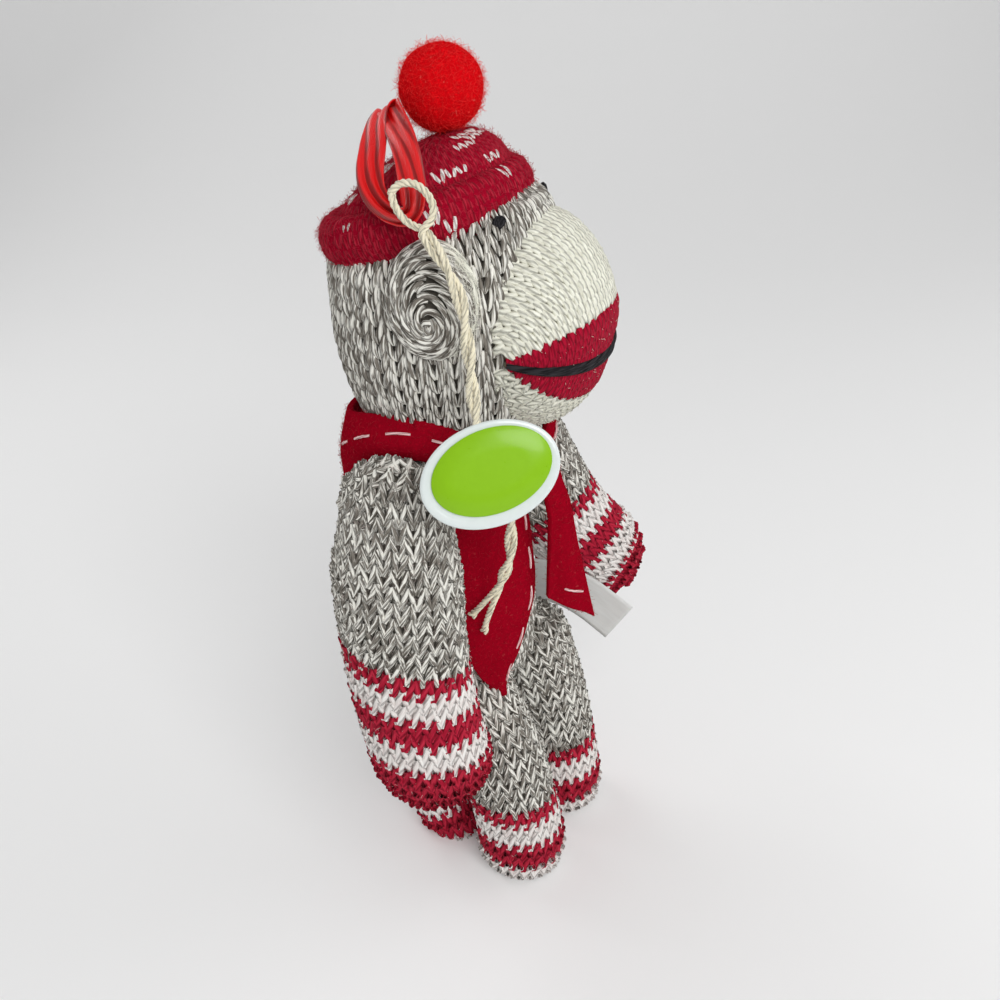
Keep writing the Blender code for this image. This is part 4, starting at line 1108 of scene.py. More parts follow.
class DOLL_OT_strings(Builder, bpy.types.Operator):
    """Twist the two strands of cotton string that hold the tag"""

    bl_idname = "doll.strings"
    bl_label = "Tag strings"

    def build(self, context):
        size = trim().string
        pale = tuple(min(0.95, part * 1.14) for part in trim().cotton)
        dark = scaled(trim().cotton, 0.8)
        cotton = finish("string_cotton", yarn_paint, dark, pale, 0.7, plies=2.0,
                        sheen=0.4, roughness=0.7, band=(0.3, 0.62), groove=0.05)
        for name, points in zip(("tag_string_back", "tag_string_front"),
                                string_routes(size)):
            routes, ply = plied(points, size, 3, 3 * MM, 1.1)
            mesh = sweep(name, routes, ply * 1.12, 0.35 * MM, cotton)
            piece = add_piece(name + "_twist", mesh, "tag", "tag_cord", name)
            route_length(points)


def satin_strip(name, rows, width, length, thickness, satin):
    """Skin rows as thin cloth, with a UV map in metres, and thicken it."""
    mesh = skin_mesh(name, rows, closed=False, material=satin)
    layer = mesh.uv_layers.new(name="cloth")
    for loop in mesh.loops:
        down, across = divmod(loop.vertex_index, len(rows[0]))
        layer.data[loop.index].uv = (across / (len(rows[0]) - 1) * width,
                                     down / (len(rows) - 1) * length)
    return modified(name, mesh, solidify={"thickness": thickness, "offset": 0.0})


class DOLL_OT_ribbon(Builder, bpy.types.Operator):
    """Fold the satin ribbon loop beside the pom-pom"""

    bl_idname = "doll.ribbon"
    bl_label = "Satin ribbon"

    def build(self, context):
        points = smooth_route(placed(RIBBON_ROUTE), 0.5 * MM)
        face = Vector((0, 0, 140)) * MM + STANCE
        width = trim().ribbon_width
        rows = []
        for i, (point, along) in enumerate(zip(points, headings(points))):
            outward = Vector((point.x - face.x, 0, point.z - face.z)).normalized()
            gone = i / (len(points) - 1)
            twist = Matrix.Rotation(0.4 * sin(gone * 11.0), 3, along)
            across = twist @ along.cross(outward).normalized()
            out = across.cross(along)
            crumple = max(0.0, 1 - abs(gone - 0.56) / 0.2)
            crumple *= crumple
            row = []
            for j in range(21):
                share = j / 20 - 0.5
                curl = 0.5 * MM * (4 * share * share - 0.4) * sin(gone * 7.0 + 0.6)
                fold = (0.35 * crumple + 0.24) * MM * sin(share * 15 + gone * 20.0)
                row.append(point + across * (share * width * (0.86 - 0.26 * crumple))
                           + out * (curl + fold))
            rows.append(row)
        total = route_length(points)
        # (0.19, 0.0, 0.001) is the painted shade of the ribbon's streaks and crease troughs, and
        # the creases follow its folds.
        satin = finish("ribbon_satin", woven_paint, trim().satin[:], (0.19, 0.0, 0.001),
                       26000.0, 0.3, (15 / width, 20 / total), specular_ior_level=0.45,
                       coat_weight=0.12, coat_roughness=0.25)
        mesh = satin_strip("satin_ribbon", rows, width, total, 0.3 * MM, satin)
        piece = add_piece("satin_ribbon", mesh, "ribbon", "ribbon_satin", "ribbon_loop")


class DOLL_OT_tag(Builder, bpy.types.Operator):
    """Turn the glossy oval tag and the bare oval on its face"""

    bl_idname = "doll.tag"
    bl_label = "Hang tag"

    def build(self, context):
        upright = (Matrix.Translation(Vector((-30, -17.7, 114.7)) * MM + STANCE)
                   @ Matrix.Rotation(radians(VIEW_TURN), 4, "Z")
                   @ Matrix.Rotation(radians(70), 4, "X"))
        rolled = upright @ Matrix.Rotation(radians(19), 4, "Z")

        def oval(profile, half_length, half_height, shift=0.0):
            """Rings of an oval whose edge follows a profile of steps inward and out."""
            return [[rolled @ (Vector(((half_length - inward) * cos(turn) + shift,
                                       (half_height - inward) * sin(turn) + shift,
                                       out)) * MM) for turn in circle(96)]
                    for inward, out in profile]

        card = finish("tag_plastic", plain_paint, trim().card[:], 0.22, coat_weight=0.5,
                      coat_roughness=0.08, specular_ior_level=0.5)
        profile = ((6, -0.5), (0.5, -0.5), (0.15, -0.38), (0, -0.05), (0.05, 0.25),
                   (0.28, 0.46), (0.7, 0.5), (1.35, 0.38), (1.7, 0.36), (6, 0.36))
        mesh = skin_mesh("hang_tag_card", oval(profile, 12.2, 8.8), material=card)
        bm = bmesh.new()
        bm.from_mesh(mesh)
        for size, place in (((6.4, 2, 0.8), (0, 4.6, -3.7)), ((0.8, 2, 3.2), (-2.8, 4.6, -2.1)),
                            ((0.8, 2, 3.2), (2.8, 4.6, -2.1))):
            made = bmesh.ops.create_cube(bm, size=1)
            bmesh.ops.transform(bm, verts=made["verts"], matrix=upright @ Matrix.Translation(
                Vector(place) * MM) @ Matrix.Diagonal((*(part * MM for part in size), 1)))
            edges = {edge for vert in made["verts"] for edge in vert.link_edges}
            bmesh.ops.bevel(bm, geom=list(edges), offset=0.15 * MM, segments=2,
                            affect="EDGES")
        bm.to_mesh(mesh)
        bm.free()
        add_piece("hang_tag_card", mesh, "tag", "tag_card", "hang_tag")
        green = finish("tag_green", plain_paint, trim().sticker[:], 0.3, coat_weight=0.15,
                       coat_roughness=0.1, specular_ior_level=0.3)
        profile = ((4, 0.4), (0.05, 0.4), (0, 0.5), (0, 0.72), (0.08, 0.8), (4, 0.8))
        mesh = skin_mesh("hang_tag_face", oval(profile, 10.5, 7.1, 0.5), material=green)
        add_piece("hang_tag_face", mesh, "tag", "tag_green", "tag_sticker")


def stuffed(name, rows, material, body, nodes):
    """The filled inner form that shows between the stitches: the knit's inner side, coloured
    darker as painted shade.
    """
    piece = add_piece(name, skin_mesh(name, rows, material=material), body, "filling",
                      *nodes)
    return piece


def marl_everywhere(*place):
    return "marl"


def cover_form(name, skin, start, seed, keep=None):
    """Knit a form's marl cover and set its filling inside."""
    settings = yarn()
    stitches = Stitches(settings.wale, settings.course, seed)
    stitches.cover(skin, start, skin.run[-1], marl_everywhere, keep)
    knit(name + "_knit", stitches, {"marl": marl()}, settings.leg, BODY_LIFT, name,
         "marl_knit", (name + "_shell",))
    stuffed(name + "_filling", skin.inset(0.85 * MM), marl_lining(), name,
            (name + "_stuffing",))


class DOLL_OT_limbs(Builder, bpy.types.Operator):
    """Knit the arms, the legs and the tail with their striped ends"""

    bl_idname = "doll.limbs"
    bl_label = "Arms, legs and tail"

    def build(self, context):
        limbs = (
            ("right_arm", arm(-1, (-5, -6, -65), (-1.6, 2.6, 0), 12.4), 0.47, "hand", 3.4,
             "RWWRRWWR"),
            ("left_arm", arm(1, (8.6, -30, -46), (0.4, 3.4, -7), 11.4), 0.47, "hand", 0.0,
             "RWWRRWWR"),
            ("right_leg", leg(-1, -12), 0.55, "foot", 2.2, "RWWRRWWW"),
            ("left_leg", leg(1, -14.2), 0.55, "foot", 0.6, "RWWRRWWRR"),
            ("tail", tail(), 0.5, "end", 0.8, "RWWRRWRRW"),
        )
        for seed, limb in enumerate(limbs):
            self.make(seed, *limb)

    def make(self, seed, name, limb, cuff, end_name, lean, stripes):
        """Knit a limb: its marl sleeve down to the cuff, and its striped end."""
        settings = yarn()
        skin = Skin(limb.rings(), LUMPS, seed + 2)
        border = limb.run_at(skin, cuff)
        lay = {"lean": lean * MM, "lean_turn": 0.25}
        sleeve = Stitches(settings.limb_wale, settings.limb_course, seed + 11)
        wales = round(skin.girth(skin.run[-1] * 0.45) / settings.limb_wale)
        wales += wales % 2
        sleeve.cover(skin, skin.run[1], border, marl_everywhere, counts=wales, **lay)
        knit(name + "_sleeve_knit", sleeve, {"marl": marl()}, settings.leg, BODY_LIFT, name,
             "marl_knit", (name + "_sleeve",))
        mitt = Stitches(settings.mitt_wale, settings.limb_course, seed + 31)

        def stripe(k, j, courses):
            return "white" if stripes[min(k, len(stripes) - 1)] == "W" else "crimson"

        wales = round(skin.girth(skin.run[-1] * 0.6) / settings.mitt_wale / 2) * 2
        mitt.cover(skin, border, skin.run[-1] - 0.3 * MM, stripe, counts=wales,
                   low_fade=True, floor=1.5 * MM if limb.stands else None, **lay)
        end_node = name.replace("arm", end_name).replace("leg", end_name)
        knit(f"{name}_{end_name}_knit", mitt, {key: wool(key) for key in ("white", "crimson")},
             settings.leg * 1.12, 0.45 * MM, name, "crimson_knit",
             ("tail_end" if name == "tail" else end_node,))
        inner = skin.inset(0.7 * MM)
        if limb.stands:
            inner[:, :, 2] = np.maximum(inner[:, :, 2], 1.8 * MM)
        piece = stuffed(name + "_filling", inner, marl_lining(), name,
                        (name + "_stuffing",))
        # A darker red for the inner form under the striped end: partly the inner side of the
        # knit, partly painted shade between the stitches.
        piece.data.materials.append(lining("mitt_lining", (0.3, 0.02, 0.045)))
        for polygon in piece.data.polygons:
            row = min(polygon.index // skin.points.shape[1], len(skin.run) - 1)
            polygon.material_index = int(skin.run[row] > border)
        shell = skin_mesh(name, skin.inset(0.25 * MM))
        fuzz(name + "_fluff", shell, 0.5, felt().hair,
             fluff("pale_fluff", (0.72, 0.6, 0.56)), name, "cream_knit", seed + 5)


class DOLL_OT_torso(Builder, bpy.types.Operator):
    """Knit the torso and lay the seam yarns"""

    bl_idname = "doll.torso"
    bl_label = "Torso"

    def build(self, context):
        skin = Skin(TORSO.rings(), LUMPS, 21)
        cover_form("torso", skin, skin.run[2], 41)
        self.seam("neck", "head", (1, 0, 0), (0, 1, 0))
        for side in ("right", "left"):
            self.seam(side + "_shoulder", side + "_shoulder", (0, 1, 0), (0, 0, 1))

    def seam(self, name, body, side, front):
        """A ring of two-ply yarn that draws a seam together."""
        low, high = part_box(name + "_yarn")
        middle, side, front = (low + high) / 2, Vector(side), Vector(front)
        size = 1.3 * MM
        radius = (high - low).dot(side) / 2 - size / 2
        ring = [middle + (side * cos(turn) + front * sin(turn)) * radius
                for turn in np.linspace(0, 2 * pi, 97)]
        pitch = 2 * pi * radius / round(2 * pi * radius / (3 * MM))
        plies, ply = plied(ring, size, 2, pitch)
        mesh = sweep(name + "_seam", plies, ply * 1.25, 0.4 * MM, marl())
        add_piece(name + "_seam", mesh, body, "marl_knit", name + "_yarn")


class DOLL_OT_head(Builder, bpy.types.Operator):
    """Knit the head round the muzzle"""

    bl_idname = "doll.head"
    bl_label = "Head"

    def build(self, context):
        skin = Skin(HEAD.rings(), 0.3 * MM, 22)
        cover_form("head", skin, skin.run[-1] * 0.12, 43,
                   lambda point: not in_muzzle(point, -1.5 * MM))
        fuzz("head_fluff", skin_mesh("head_fluff", skin.inset(0.3 * MM)), 0.1,
             felt().hair * 0.8, fluff("grey_fluff", (0.5, 0.48, 0.44)), "head", "marl_knit",
             61)


class DOLL_OT_muzzle(Builder, bpy.types.Operator):
    """Knit the cream muzzle, the lips and the mouth line"""

    bl_idname = "doll.muzzle"
    bl_label = "Muzzle"

    def band(self, stitches, start, end, upwards, yarn_name, growth=0.0, clip=True):
        """Columns of stitches between two angles, each column's rows counted from start."""
        def step(sweep):
            """The sweep that one stitch takes up at another sweep."""
            return stitches.wale / sqrt((MUZZLE["side"] * cos(sweep)) ** 2
                                        + (MUZZLE["front"] * sin(sweep)) ** 2)

        sweeps = [0.0]
        while sweeps[-1] + step(sweeps[-1]) <= radians(89):
            sweeps.append(sweeps[-1] + step(sweeps[-1]))
        for sweep in [-sweep for sweep in sweeps[:0:-1]] + sweeps:
            turns = np.linspace(start, end, 60)
            path = np.array([tuple(muzzle_point(turn, sweep, growth)) for turn in turns])
            run = np.concatenate([[0], np.cumsum(np.linalg.norm(np.diff(path, axis=0),
                                                                axis=1))])
            count = run[-1] / stitches.course
            count = int(count) if clip else max(1, round(count))
            height = stitches.course if clip else run[-1] / count
            for k in range(count):
                marks = [np.interp(height * (k + part), run, turns) for part in (0, 0.5, 1)]
                low, centre, high = (np.array(muzzle_point(mark, sweep, growth))
                                     for mark in marks)
                if in_head(centre, -0.8 * MM):
                    continue
                right, left = (np.array(muzzle_point(
                    marks[1], sweep + side * step(sweep) / 2, growth)) for side in (1, -1))
                stitches.add(centre, (right - left) * upwards, (high - low) * upwards,
                             yarn_name)

    def build(self, context):
        settings = yarn()
        cream = wool("cream")
        for name, cad_node, start, end, upwards in (
                ("muzzle_knit", "muzzle_top", LIP_TOP + 0.05, radians(160), 1),
                ("chin_knit", "chin", LIP_BOTTOM - 0.05, radians(-160), -1)):
            stitches = Stitches(settings.fine_wale, settings.fine_course, 47)
            self.band(stitches, start, end, upwards, "cream")
            knit(name, stitches, {"cream": cream}, settings.fine_leg, 0.3 * MM, "head",
                 "cream_knit", (cad_node,))
        for name, cad_node, start, end in (
                ("upper_lip_knit", "upper_lip", MOUTH + 0.02, LIP_TOP + 0.02),
                ("lower_lip_knit", "lower_lip", LIP_BOTTOM - 0.02, MOUTH - 0.02)):
            stitches = Stitches(settings.fine_wale * 0.8, settings.fine_course, 53)
            self.band(stitches, start, end, 1, "lip", 0.15 * MM, False)
            knit(name, stitches, {"lip": finish(
                "lip_wool", yarn_paint, scaled(settings.crimson, 0.8),
                scaled(settings.crimson, 1.2), 0.6, sheen=0.03, band=(0.3, 0.7),
                groove=0.08)},
                 settings.fine_leg, 0.22 * MM, "head", "crimson_knit", (cad_node,))

        rows = []
        for angle in np.linspace(radians(-178), radians(178), 60):
            rows.append([muzzle_point(angle, radians(89) * (j / 24 - 1), -0.75 * MM)
                         for j in range(49)])
        mesh = skin_mesh("muzzle_filling", rows, closed=False)
        # Darker cream and red for the sheet under the muzzle and the lips: partly the inner side
        # of the knit, partly painted shade between the stitches.
        inner = finish("muzzle_lining", felt_paint, (0.36, 0.34, 0.26), (0.6, 0.58, 0.48))
        mesh.materials.append(inner)
        red = lining("lip_lining", (0.26, 0.006, 0.02))
        mesh.materials.append(red)
        for polygon in mesh.polygons:
            k = polygon.index // 48
            angle = radians(-178) + (k + 0.5) / 59 * radians(356)
            polygon.material_index = 1 if LIP_BOTTOM < angle < LIP_TOP else 0
        mesh = modified("muzzle_filling", mesh, solidify={"thickness": 0.5 * MM,
                                                          "offset": -1.0})
        piece = add_piece("muzzle_filling", mesh, "head", "filling", "muzzle_stuffing")

        sweeps = [radians(86) * (i / 40 - 1) for i in range(81)]
        runs = []
        for offset in (-0.55, 0.0, 0.55):
            runs.append([muzzle_point(MOUTH + offset * MM / MUZZLE["front"], sweep,
                                      0.85 * MM) for sweep in sweeps])
        mesh = sweep("mouth_yarn", runs, 0.95 * MM, 0.4 * MM, wool("black"))
        add_piece("mouth_yarn", mesh, "head", "black_yarn", "mouth_line")
        rows = [[muzzle_point(angle, radians(78) * (j / 20 - 1), 0.0) for j in range(41)]
                for angle in np.linspace(radians(-100), radians(100), 40)]
        shell = skin_mesh("muzzle_shell", rows, closed=False)
        fuzz("muzzle_fluff", shell, 1.0, felt().hair * 0.75,
             fluff("cream_fluff", (0.8, 0.78, 0.66)), "head", "cream_knit", 63, 1.0)


class DOLL_OT_face(Builder, bpy.types.Operator):
    """Knot the eyes and coil the ears"""

    bl_idname = "doll.face"
    bl_label = "Eyes and ears"

    def build(self, context):
        for side, name in ((-1, "right"), (1, "left")):
            self.eye(side, name)
            self.ear(side, name)

    def eye(self, side, name):
        """A French knot: three loops of yarn pulled into the knit."""
        place = HEAD.front_at(side * 11.3 * MM, 151.8 * MM, 1.3 * MM) + STANCE
        turn = (Matrix.Translation(place) @ Matrix.Rotation(radians(side * 38), 4, "Z"))
        runs = []
        for k in range(7):
            tilt = radians(k * 53)
            loop = []
            for i in range(17):
                angle = 2 * pi * i / 16
                point = Vector((cos(angle) * 0.9, -0.2 - 0.09 * k, sin(angle) * 0.9))
                point = Matrix.Rotation(tilt, 3, "Y") @ Vector(
                    (point.x * (1.2 - 0.1 * k), point.y, point.z * (0.8 - 0.09 * k)))
                loop.append(turn @ (point * MM))
            runs.append(loop)
        mesh = sweep(name + "_eye_knot", runs, 0.6 * MM, 0.3 * MM, wool("black"))
        add_piece(name + "_eye_knot", mesh, "head", "black_yarn", name + "_eye")

    def ear(self, side, name):
        """Oval rings of short strokes of yarn, drawn together low on the ear."""
        back, width, depth = HEAD.section(140.8 * MM)
        share = (5.6 * MM + back) / depth
        surface = Vector((side * width * sqrt(1 - share * share), -5.6 * MM, 140.8 * MM))
        turn = (Matrix.Translation(surface + STANCE)
                @ Matrix.Rotation(radians(side * -14), 4, "Z"))
        high, wide, tall = 4.2 * MM, 7.1 * MM, 9.5 * MM

        def point(ring, angle, out):
            spread = min(ring, 1)
            across = spread * cos(angle)
            up = spread * sin(angle) - 0.32 * (1 - spread)
            rise = high * sqrt(max(0, 1 - across * across - up * up))
            rise += out - max(ring - 1, 0) * 9 * MM
            return turn @ Vector((side * rise, across * (wide + out * 0.5),
                                  up * (tall + out * 0.5)))

        turns = [radians(90) * (k + 0.5) / 9 for k in range(9)]
        rings = [sin(item) for item in turns] + [1.08, 1.2]
        strokes, pale = [], []
        for k, ring in enumerate(rings):
            count = max(3, round(10.5 * min(ring, 1)))
            step = 0.035 * (1 if k % 2 else -1)
            for i in range(count):
                start = 2 * pi * (i + 0.37 * k) / count
                sweep_turn = 1.3 * 2 * pi / count
                rim = k > 7 and cos(start + sweep_turn / 2) < -0.3
                (pale if rim else strokes).append([point(
                    max(0, ring + step * (2 * j / 10 - 1)), start + sweep_turn * j / 10,
                    (0.55 * sin(pi * j / 10) - 0.3) * MM) for j in range(11)])
        mesh = sweep(name + "_ear_knit", strokes, 1.2 * MM, 0.45 * MM, marl())
        add_piece(name + "_ear_knit", mesh, "head", "marl_knit", name + "_ear")
        mesh = sweep(name + "_ear_rim", pale, 1.25 * MM, 0.45 * MM,
                     wool("cream"))
        add_piece(name + "_ear_rim", mesh, "head", "cream_knit")

        def dome(rings, first, last, count, out):
            return [[point(ring, radians(first + (last - first) * j / count), out)
                     for j in range(count)] for ring in rings]

        # The ear's inner dome in the darker marl: painted shade between the strokes.
        piece = add_piece(name + "_ear_filling", skin_mesh(
            name + "_ear_filling", dome((0.1, 0.4, 0.7, 0.9, 1, 1.3), 0, 360, 32, -0.9 * MM),
            material=marl_lining()), "head", "filling")
        rim = skin_mesh(name + "_ear_front", dome((0.86, 0.93, 1, 1.1), 110, 250, 24, 0.35 * MM),
                        closed=False)
        fuzz(name + "_ear_fluff", rim, 8.0, felt().hair,
             fluff("ear_fluff", (0.86, 0.85, 0.76)), "head", "cream_knit", 67, 1.2, 1.2)


HAT_PLACE = (Matrix.Translation(Vector((0, 3.4, 150.4)) * MM)
             @ Matrix.Rotation(radians(-15), 4, "X"))
HAT_RADIUS, HAT_DEPTH, BRIM_ROLL = 18.4 * MM, 0.9, 2.8 * MM


def crown_mark(k, j, courses):
    """The pale stitches of the crown: steps low on it, and short dashes near its top."""
    ring = j % 12
    if k in (2, 3, 4) and ring - k in (0, 1, 2):
        return "white"
    return "white" if k == courses - 4 and ring in (2, 3, 4, 7, 8) else "hat"


def brim_mark(k, j, courses):
    """The pale flecks of the brim."""
    return "white" if (k, j % 14) in ((5, 2), (6, 3), (4, 9)) else "hat"


class DOLL_OT_hat(Builder, bpy.types.Operator):
    """Felt the hat and its rolled brim and seat the pom-pom"""

    bl_idname = "doll.hat"
    bl_label = "Hat and pom-pom"

    def build(self, context):
        pompom = Vector((0, -1, 170.9)) * MM
        apex = HAT_PLACE.inverted() @ (pompom - Vector((0, 0, 7.5)) * MM)
        tilt = HAT_PLACE.to_3x3()
        rings = []
        for angle in range(84, -1, -3):
            rise = sin(radians(angle))
            spread = HAT_RADIUS * cos(radians(angle)) ** 1.2
            centre = HAT_PLACE @ Vector((0, apex.y * rise * rise, apex.z * rise))
            rings.append(ellipse(centre, tilt @ Vector((spread, 0, 0)),
                                 tilt @ Vector((0, spread * HAT_DEPTH, 0)), 64))
        crown = Skin(rings, 0.3 * MM, 25)
        self.wrap("crown", crown, crown.run[1], crown.run[-1], 73, crown_mark)

        rows = []
        for i in range(33):
            roll = radians(215 - 340 * i / 32)
            ring = HAT_RADIUS + BRIM_ROLL * cos(roll)
            rows.append([HAT_PLACE @ Vector((
                ring * cos(turn), ring * sin(turn) * HAT_DEPTH,
                BRIM_ROLL * 1.4 * sin(roll))) + STANCE for turn in circle(96)])
        brim = Skin(rows, 0.3 * MM, 26)
        self.wrap("brim", brim, 0.5 * MM, brim.run[-1] - 0.5 * MM, 75, brim_mark)
        self.ball(pompom)

    def wrap(self, part, skin, start, end, seed, mark):
        """Knit a part of the hat over a ground of felt, and set its fluff."""
        name = "hat_" + part
        stitches = Stitches(2.5 * MM, 2.0 * MM, seed)
        stitches.cover(skin, start, end, mark)
        knit(name + "_knit", stitches, {key: wool(key) for key in ("hat", "white")},
             1.25 * MM, 0.1 * MM, "head", "hat_knit", (name,))
        ground = skin_mesh(name + "_felt", skin.inset(-0.48 * MM), caps=part == "crown",
                           material=lining("hat_lining", scaled(felt().hat, 1.25)))
        if part == "brim":
            ground = modified(name + "_felt", ground, solidify={
                "thickness": 0.4 * MM, "offset": -1.0})
        add_piece(name + "_felt", ground, "head", "hat_knit")
        shell = skin_mesh(name + "_fluff", skin.inset(-0.45 * MM), caps=False)
        fuzz(name + "_fluff", shell, 2.5, felt().hair * 0.9,
             fluff("hat_fluff", (0.46, 0.01, 0.035)), "head", "hat_knit", seed + 8, 1.6)

    def ball(self, pompom):
        """The lumpy felt ball on the hat's tip, with its fluff."""
        bm = bmesh.new()
        bmesh.ops.create_uvsphere(bm, u_segments=64, v_segments=40, radius=7.2 * MM)
        points = np.array([tuple(vert.co) for vert in bm.verts])
        lumps = wobble(points, 0.22 * MM, 3.2 * MM, 91) + wobble(points, 0.08 * MM,
                                                                1.1 * MM, 92)
        for vert, lump in zip(bm.verts, lumps):
            vert.co += vert.co.normalized() * lump
            vert.co += pompom + STANCE
        faces = []  # in an order of their own, since the sphere's changes from run to run
        for face in bm.faces:
            ring = [vert.index for vert in face.verts]
            first = ring.index(min(ring))
            faces.append(ring[first:] + ring[:first])
        mesh = bpy.data.meshes.new("pompom_ball")
        mesh.from_pydata([tuple(vert.co) for vert in bm.verts], [], sorted(faces))
        bm.free()
        mesh.polygons.foreach_set("use_smooth", [True] * len(mesh.polygons))
        mesh.materials.append(finish("pompom_felt", felt_paint, felt().pompom[:],
                                     (0.95, 0.35, 0.28), 2200, 0.12))
        piece = add_piece("pompom_ball", mesh, "head", "pompom_felt", "pompom")
        fuzz("pompom_fluff", mesh, 6.0, felt().hair, fluff("pompom_wool", (0.86, 0.02, 0.02)),
             "head", "pompom_felt", 85, 1.6, 0.7)


COLLAR_SIDES = 112
COLLAR_WIDTH, COLLAR_DEPTH, COLLAR_BACK = 21.9, 17, 24.2


def collar_rows():
    """Rows of points of the scarf's collar from its lower to its upper edge."""
    rows = []
    for level in (i / 12 for i in range(13)):
        row = []
        for turn in circle(COLLAR_SIDES):
            frontness = -sin(turn)
            share = frontness * frontness
            if frontness > 0:
                depth, low, high = COLLAR_DEPTH, 97.6, 107
            else:
                depth, low, high = COLLAR_BACK, 87, 112
            bottom = 111.3 + (low - 111.3) * share
            top = 118.6 + (high - 118.6) * share
            crease = 0.5 * sin(level * 5.0 + turn * 2.0) + 0.3 * sin(turn * 7.0 + level * 3)
            lean = 0.09 * level * level * (1 if frontness < 0 else 0.5)
            reach = 1 + (crease + 0.8) * sin(pi * level) / 24 - lean
            row.append(Vector((COLLAR_WIDTH * cos(turn) * reach, -depth * frontness * reach,
                               bottom + (top - bottom) * level)) * MM + STANCE)
        rows.append(row)
    return rows


def collar_edge(side):
    """The collar's lower front edge, at a distance from the middle."""
    front = 1 - (side / COLLAR_WIDTH) ** 2
    return Vector((side, -COLLAR_DEPTH * sqrt(front), 112.3 + (97.6 - 112.3) * front))


def sheet_rows(rows, columns, place):
    """Rows of points from a rule that takes the share down and the share across."""
    return [[place(i / (rows - 1), j / (columns - 1)) * MM + STANCE
             for j in range(columns)] for i in range(rows)]


LONG_TAIL_EDGES = np.array((
    (50.6, -12.8, -11.4), (55, -14.8, -10.6), (62, -17.6, -8.0), (70, -18.2, -3.4),
    (76, -18.4, -0.8), (85, -18.6, 0.4), (102, -19.0, 2.6),
))


def long_tail(share, part):
    """A place on the long tail, which lies on the right of the chest."""
    bottom, top = LONG_TAIL_EDGES[0, 0], LONG_TAIL_EDGES[-1, 0]
    height = top + (bottom - top) * share
    left, right = (np.interp(height, LONG_TAIL_EDGES[:, 0], LONG_TAIL_EDGES[:, k])
                   for k in (1, 2))
    side = left + (right - left) * part
    close = TORSO.front_at(side * MM, max(height, 56) * MM, 2.7 * MM) / MM
    rim = collar_edge(max(min(side, 21), -21))
    blend = max(0.0, 1 - share / 0.22)
    ripple = 0.4 * sin(part * 9.0 + share * 3.0) * min(1, share * 4)
    return Vector((side, close.y + (rim.y - close.y) * blend * blend - ripple,
                   height + (rim.z - top) * blend))


SHORT_TAIL_EDGES = np.array((
    ((-1.0, -16.8, 99.5), (8.0, -16.0, 99.0)),
    ((-2.2, -18.6, 90.0), (4.6, -20.6, 91.0)),
    ((-2.6, -18.4, 83.5), (3.6, -22.4, 82.0)),
    ((-2.8, -18.0, 77.0), (3.8, -24.2, 72.4)),
    ((-2.8, -17.6, 70.8), (4.4, -25.8, 62.6)),
))


def short_tail(share, part):
    """A place on the short tail, which stands edge-on in front of the chest."""
    marks = np.linspace(0, 1, len(SHORT_TAIL_EDGES))
    left, right = (Vector([np.interp(share, marks, SHORT_TAIL_EDGES[:, k, axis])
                           for axis in range(3)]) for k in (0, 1))
    fold = 0.9 * sin(pi * part) * (1 - share) - 0.45 * sin(part * 8.0 + share)
    over = (right - left).cross(Vector((0, 0, 1))).normalized()
    return left.lerp(right, part) + over * fold


def cut_size(rows):
    """The width, the length and the area of a sheet from its rows of points."""
    width = max(route_length(row) for row in rows)
    long_side = max(route_length(list(column)) for column in zip(*rows))
    area = 0.0
    for first, second in zip(rows, rows[1:]):
        for a, b, c, d in zip(first, first[1:], second, second[1:]):
            area += ((b - a).cross(c - a).length + (b - d).cross(c - d).length) / 2
    return width, long_side, min(area, width * long_side)


def path_on(grid, places):
    """Points of a grid at pairs of shares, along its rows and across them."""
    points = []
    for down, across in places:
        i, j = down * (len(grid) - 1), across * (len(grid[0]) - 1)
        a, b = min(int(i), len(grid) - 2), min(int(j), len(grid[0]) - 2)
        left = grid[a][b].lerp(grid[a + 1][b], i - a)
        right = grid[a][b + 1].lerp(grid[a + 1][b + 1], i - a)
        points.append(left.lerp(right, j - b))
    return points


def sheet_facing(grid, point):
    """The way a sheet faces at the place nearest a point, away from the doll's middle."""
    i, j = min(((i, j) for i in range(len(grid) - 1) for j in range(len(grid[0]) - 1)),
               key=lambda pair: (grid[pair[0]][pair[1]] - point).length_squared)
    out = (grid[i][j + 1] - grid[i][j]).cross(grid[i + 1][j] - grid[i][j]).normalized()
    viewer = Vector((-0.8, -0.6, 0.3)) if len(grid[0]) < 40 else Vector((point.x, point.y, 0))
    return out if out.dot(viewer) > 0 else -out


def running_stitches(name, grid, path, body, nodes):
    """Short bars of thread in front of the felt, with gaps between them."""
    points = smooth_route(path_on(grid, path), 0.3 * MM)
    runs, gone = [], 0.0
    stitch, gap = 5.2 * MM, 3.6 * MM
    current = []
    for a, b in zip(points, points[1:]):
        phase = gone % (stitch + gap)
        out = sheet_facing(grid, a)
        if phase < stitch:
            bow = sin(pi * phase / stitch)
            current.append(a + out * (felt().thickness / 2 - 0.1 * MM + 0.3 * MM * bow))
        elif current:
            if len(current) > 4:
                runs.append(current)
            current = []
        gone += (b - a).length
    if len(current) > 4:
        runs.append(current)
    thread = finish("scarf_thread", yarn_paint, scaled(felt().thread, 0.85),
                    (0.9, 0.62, 0.62), 0.9, sheen=0.05, band=(0.3, 0.6), groove=0.04)
    mesh = sweep(name, runs, 0.5 * MM, 0.35 * MM, thread)
    return add_piece(name, mesh, body, "pale_thread", *nodes)


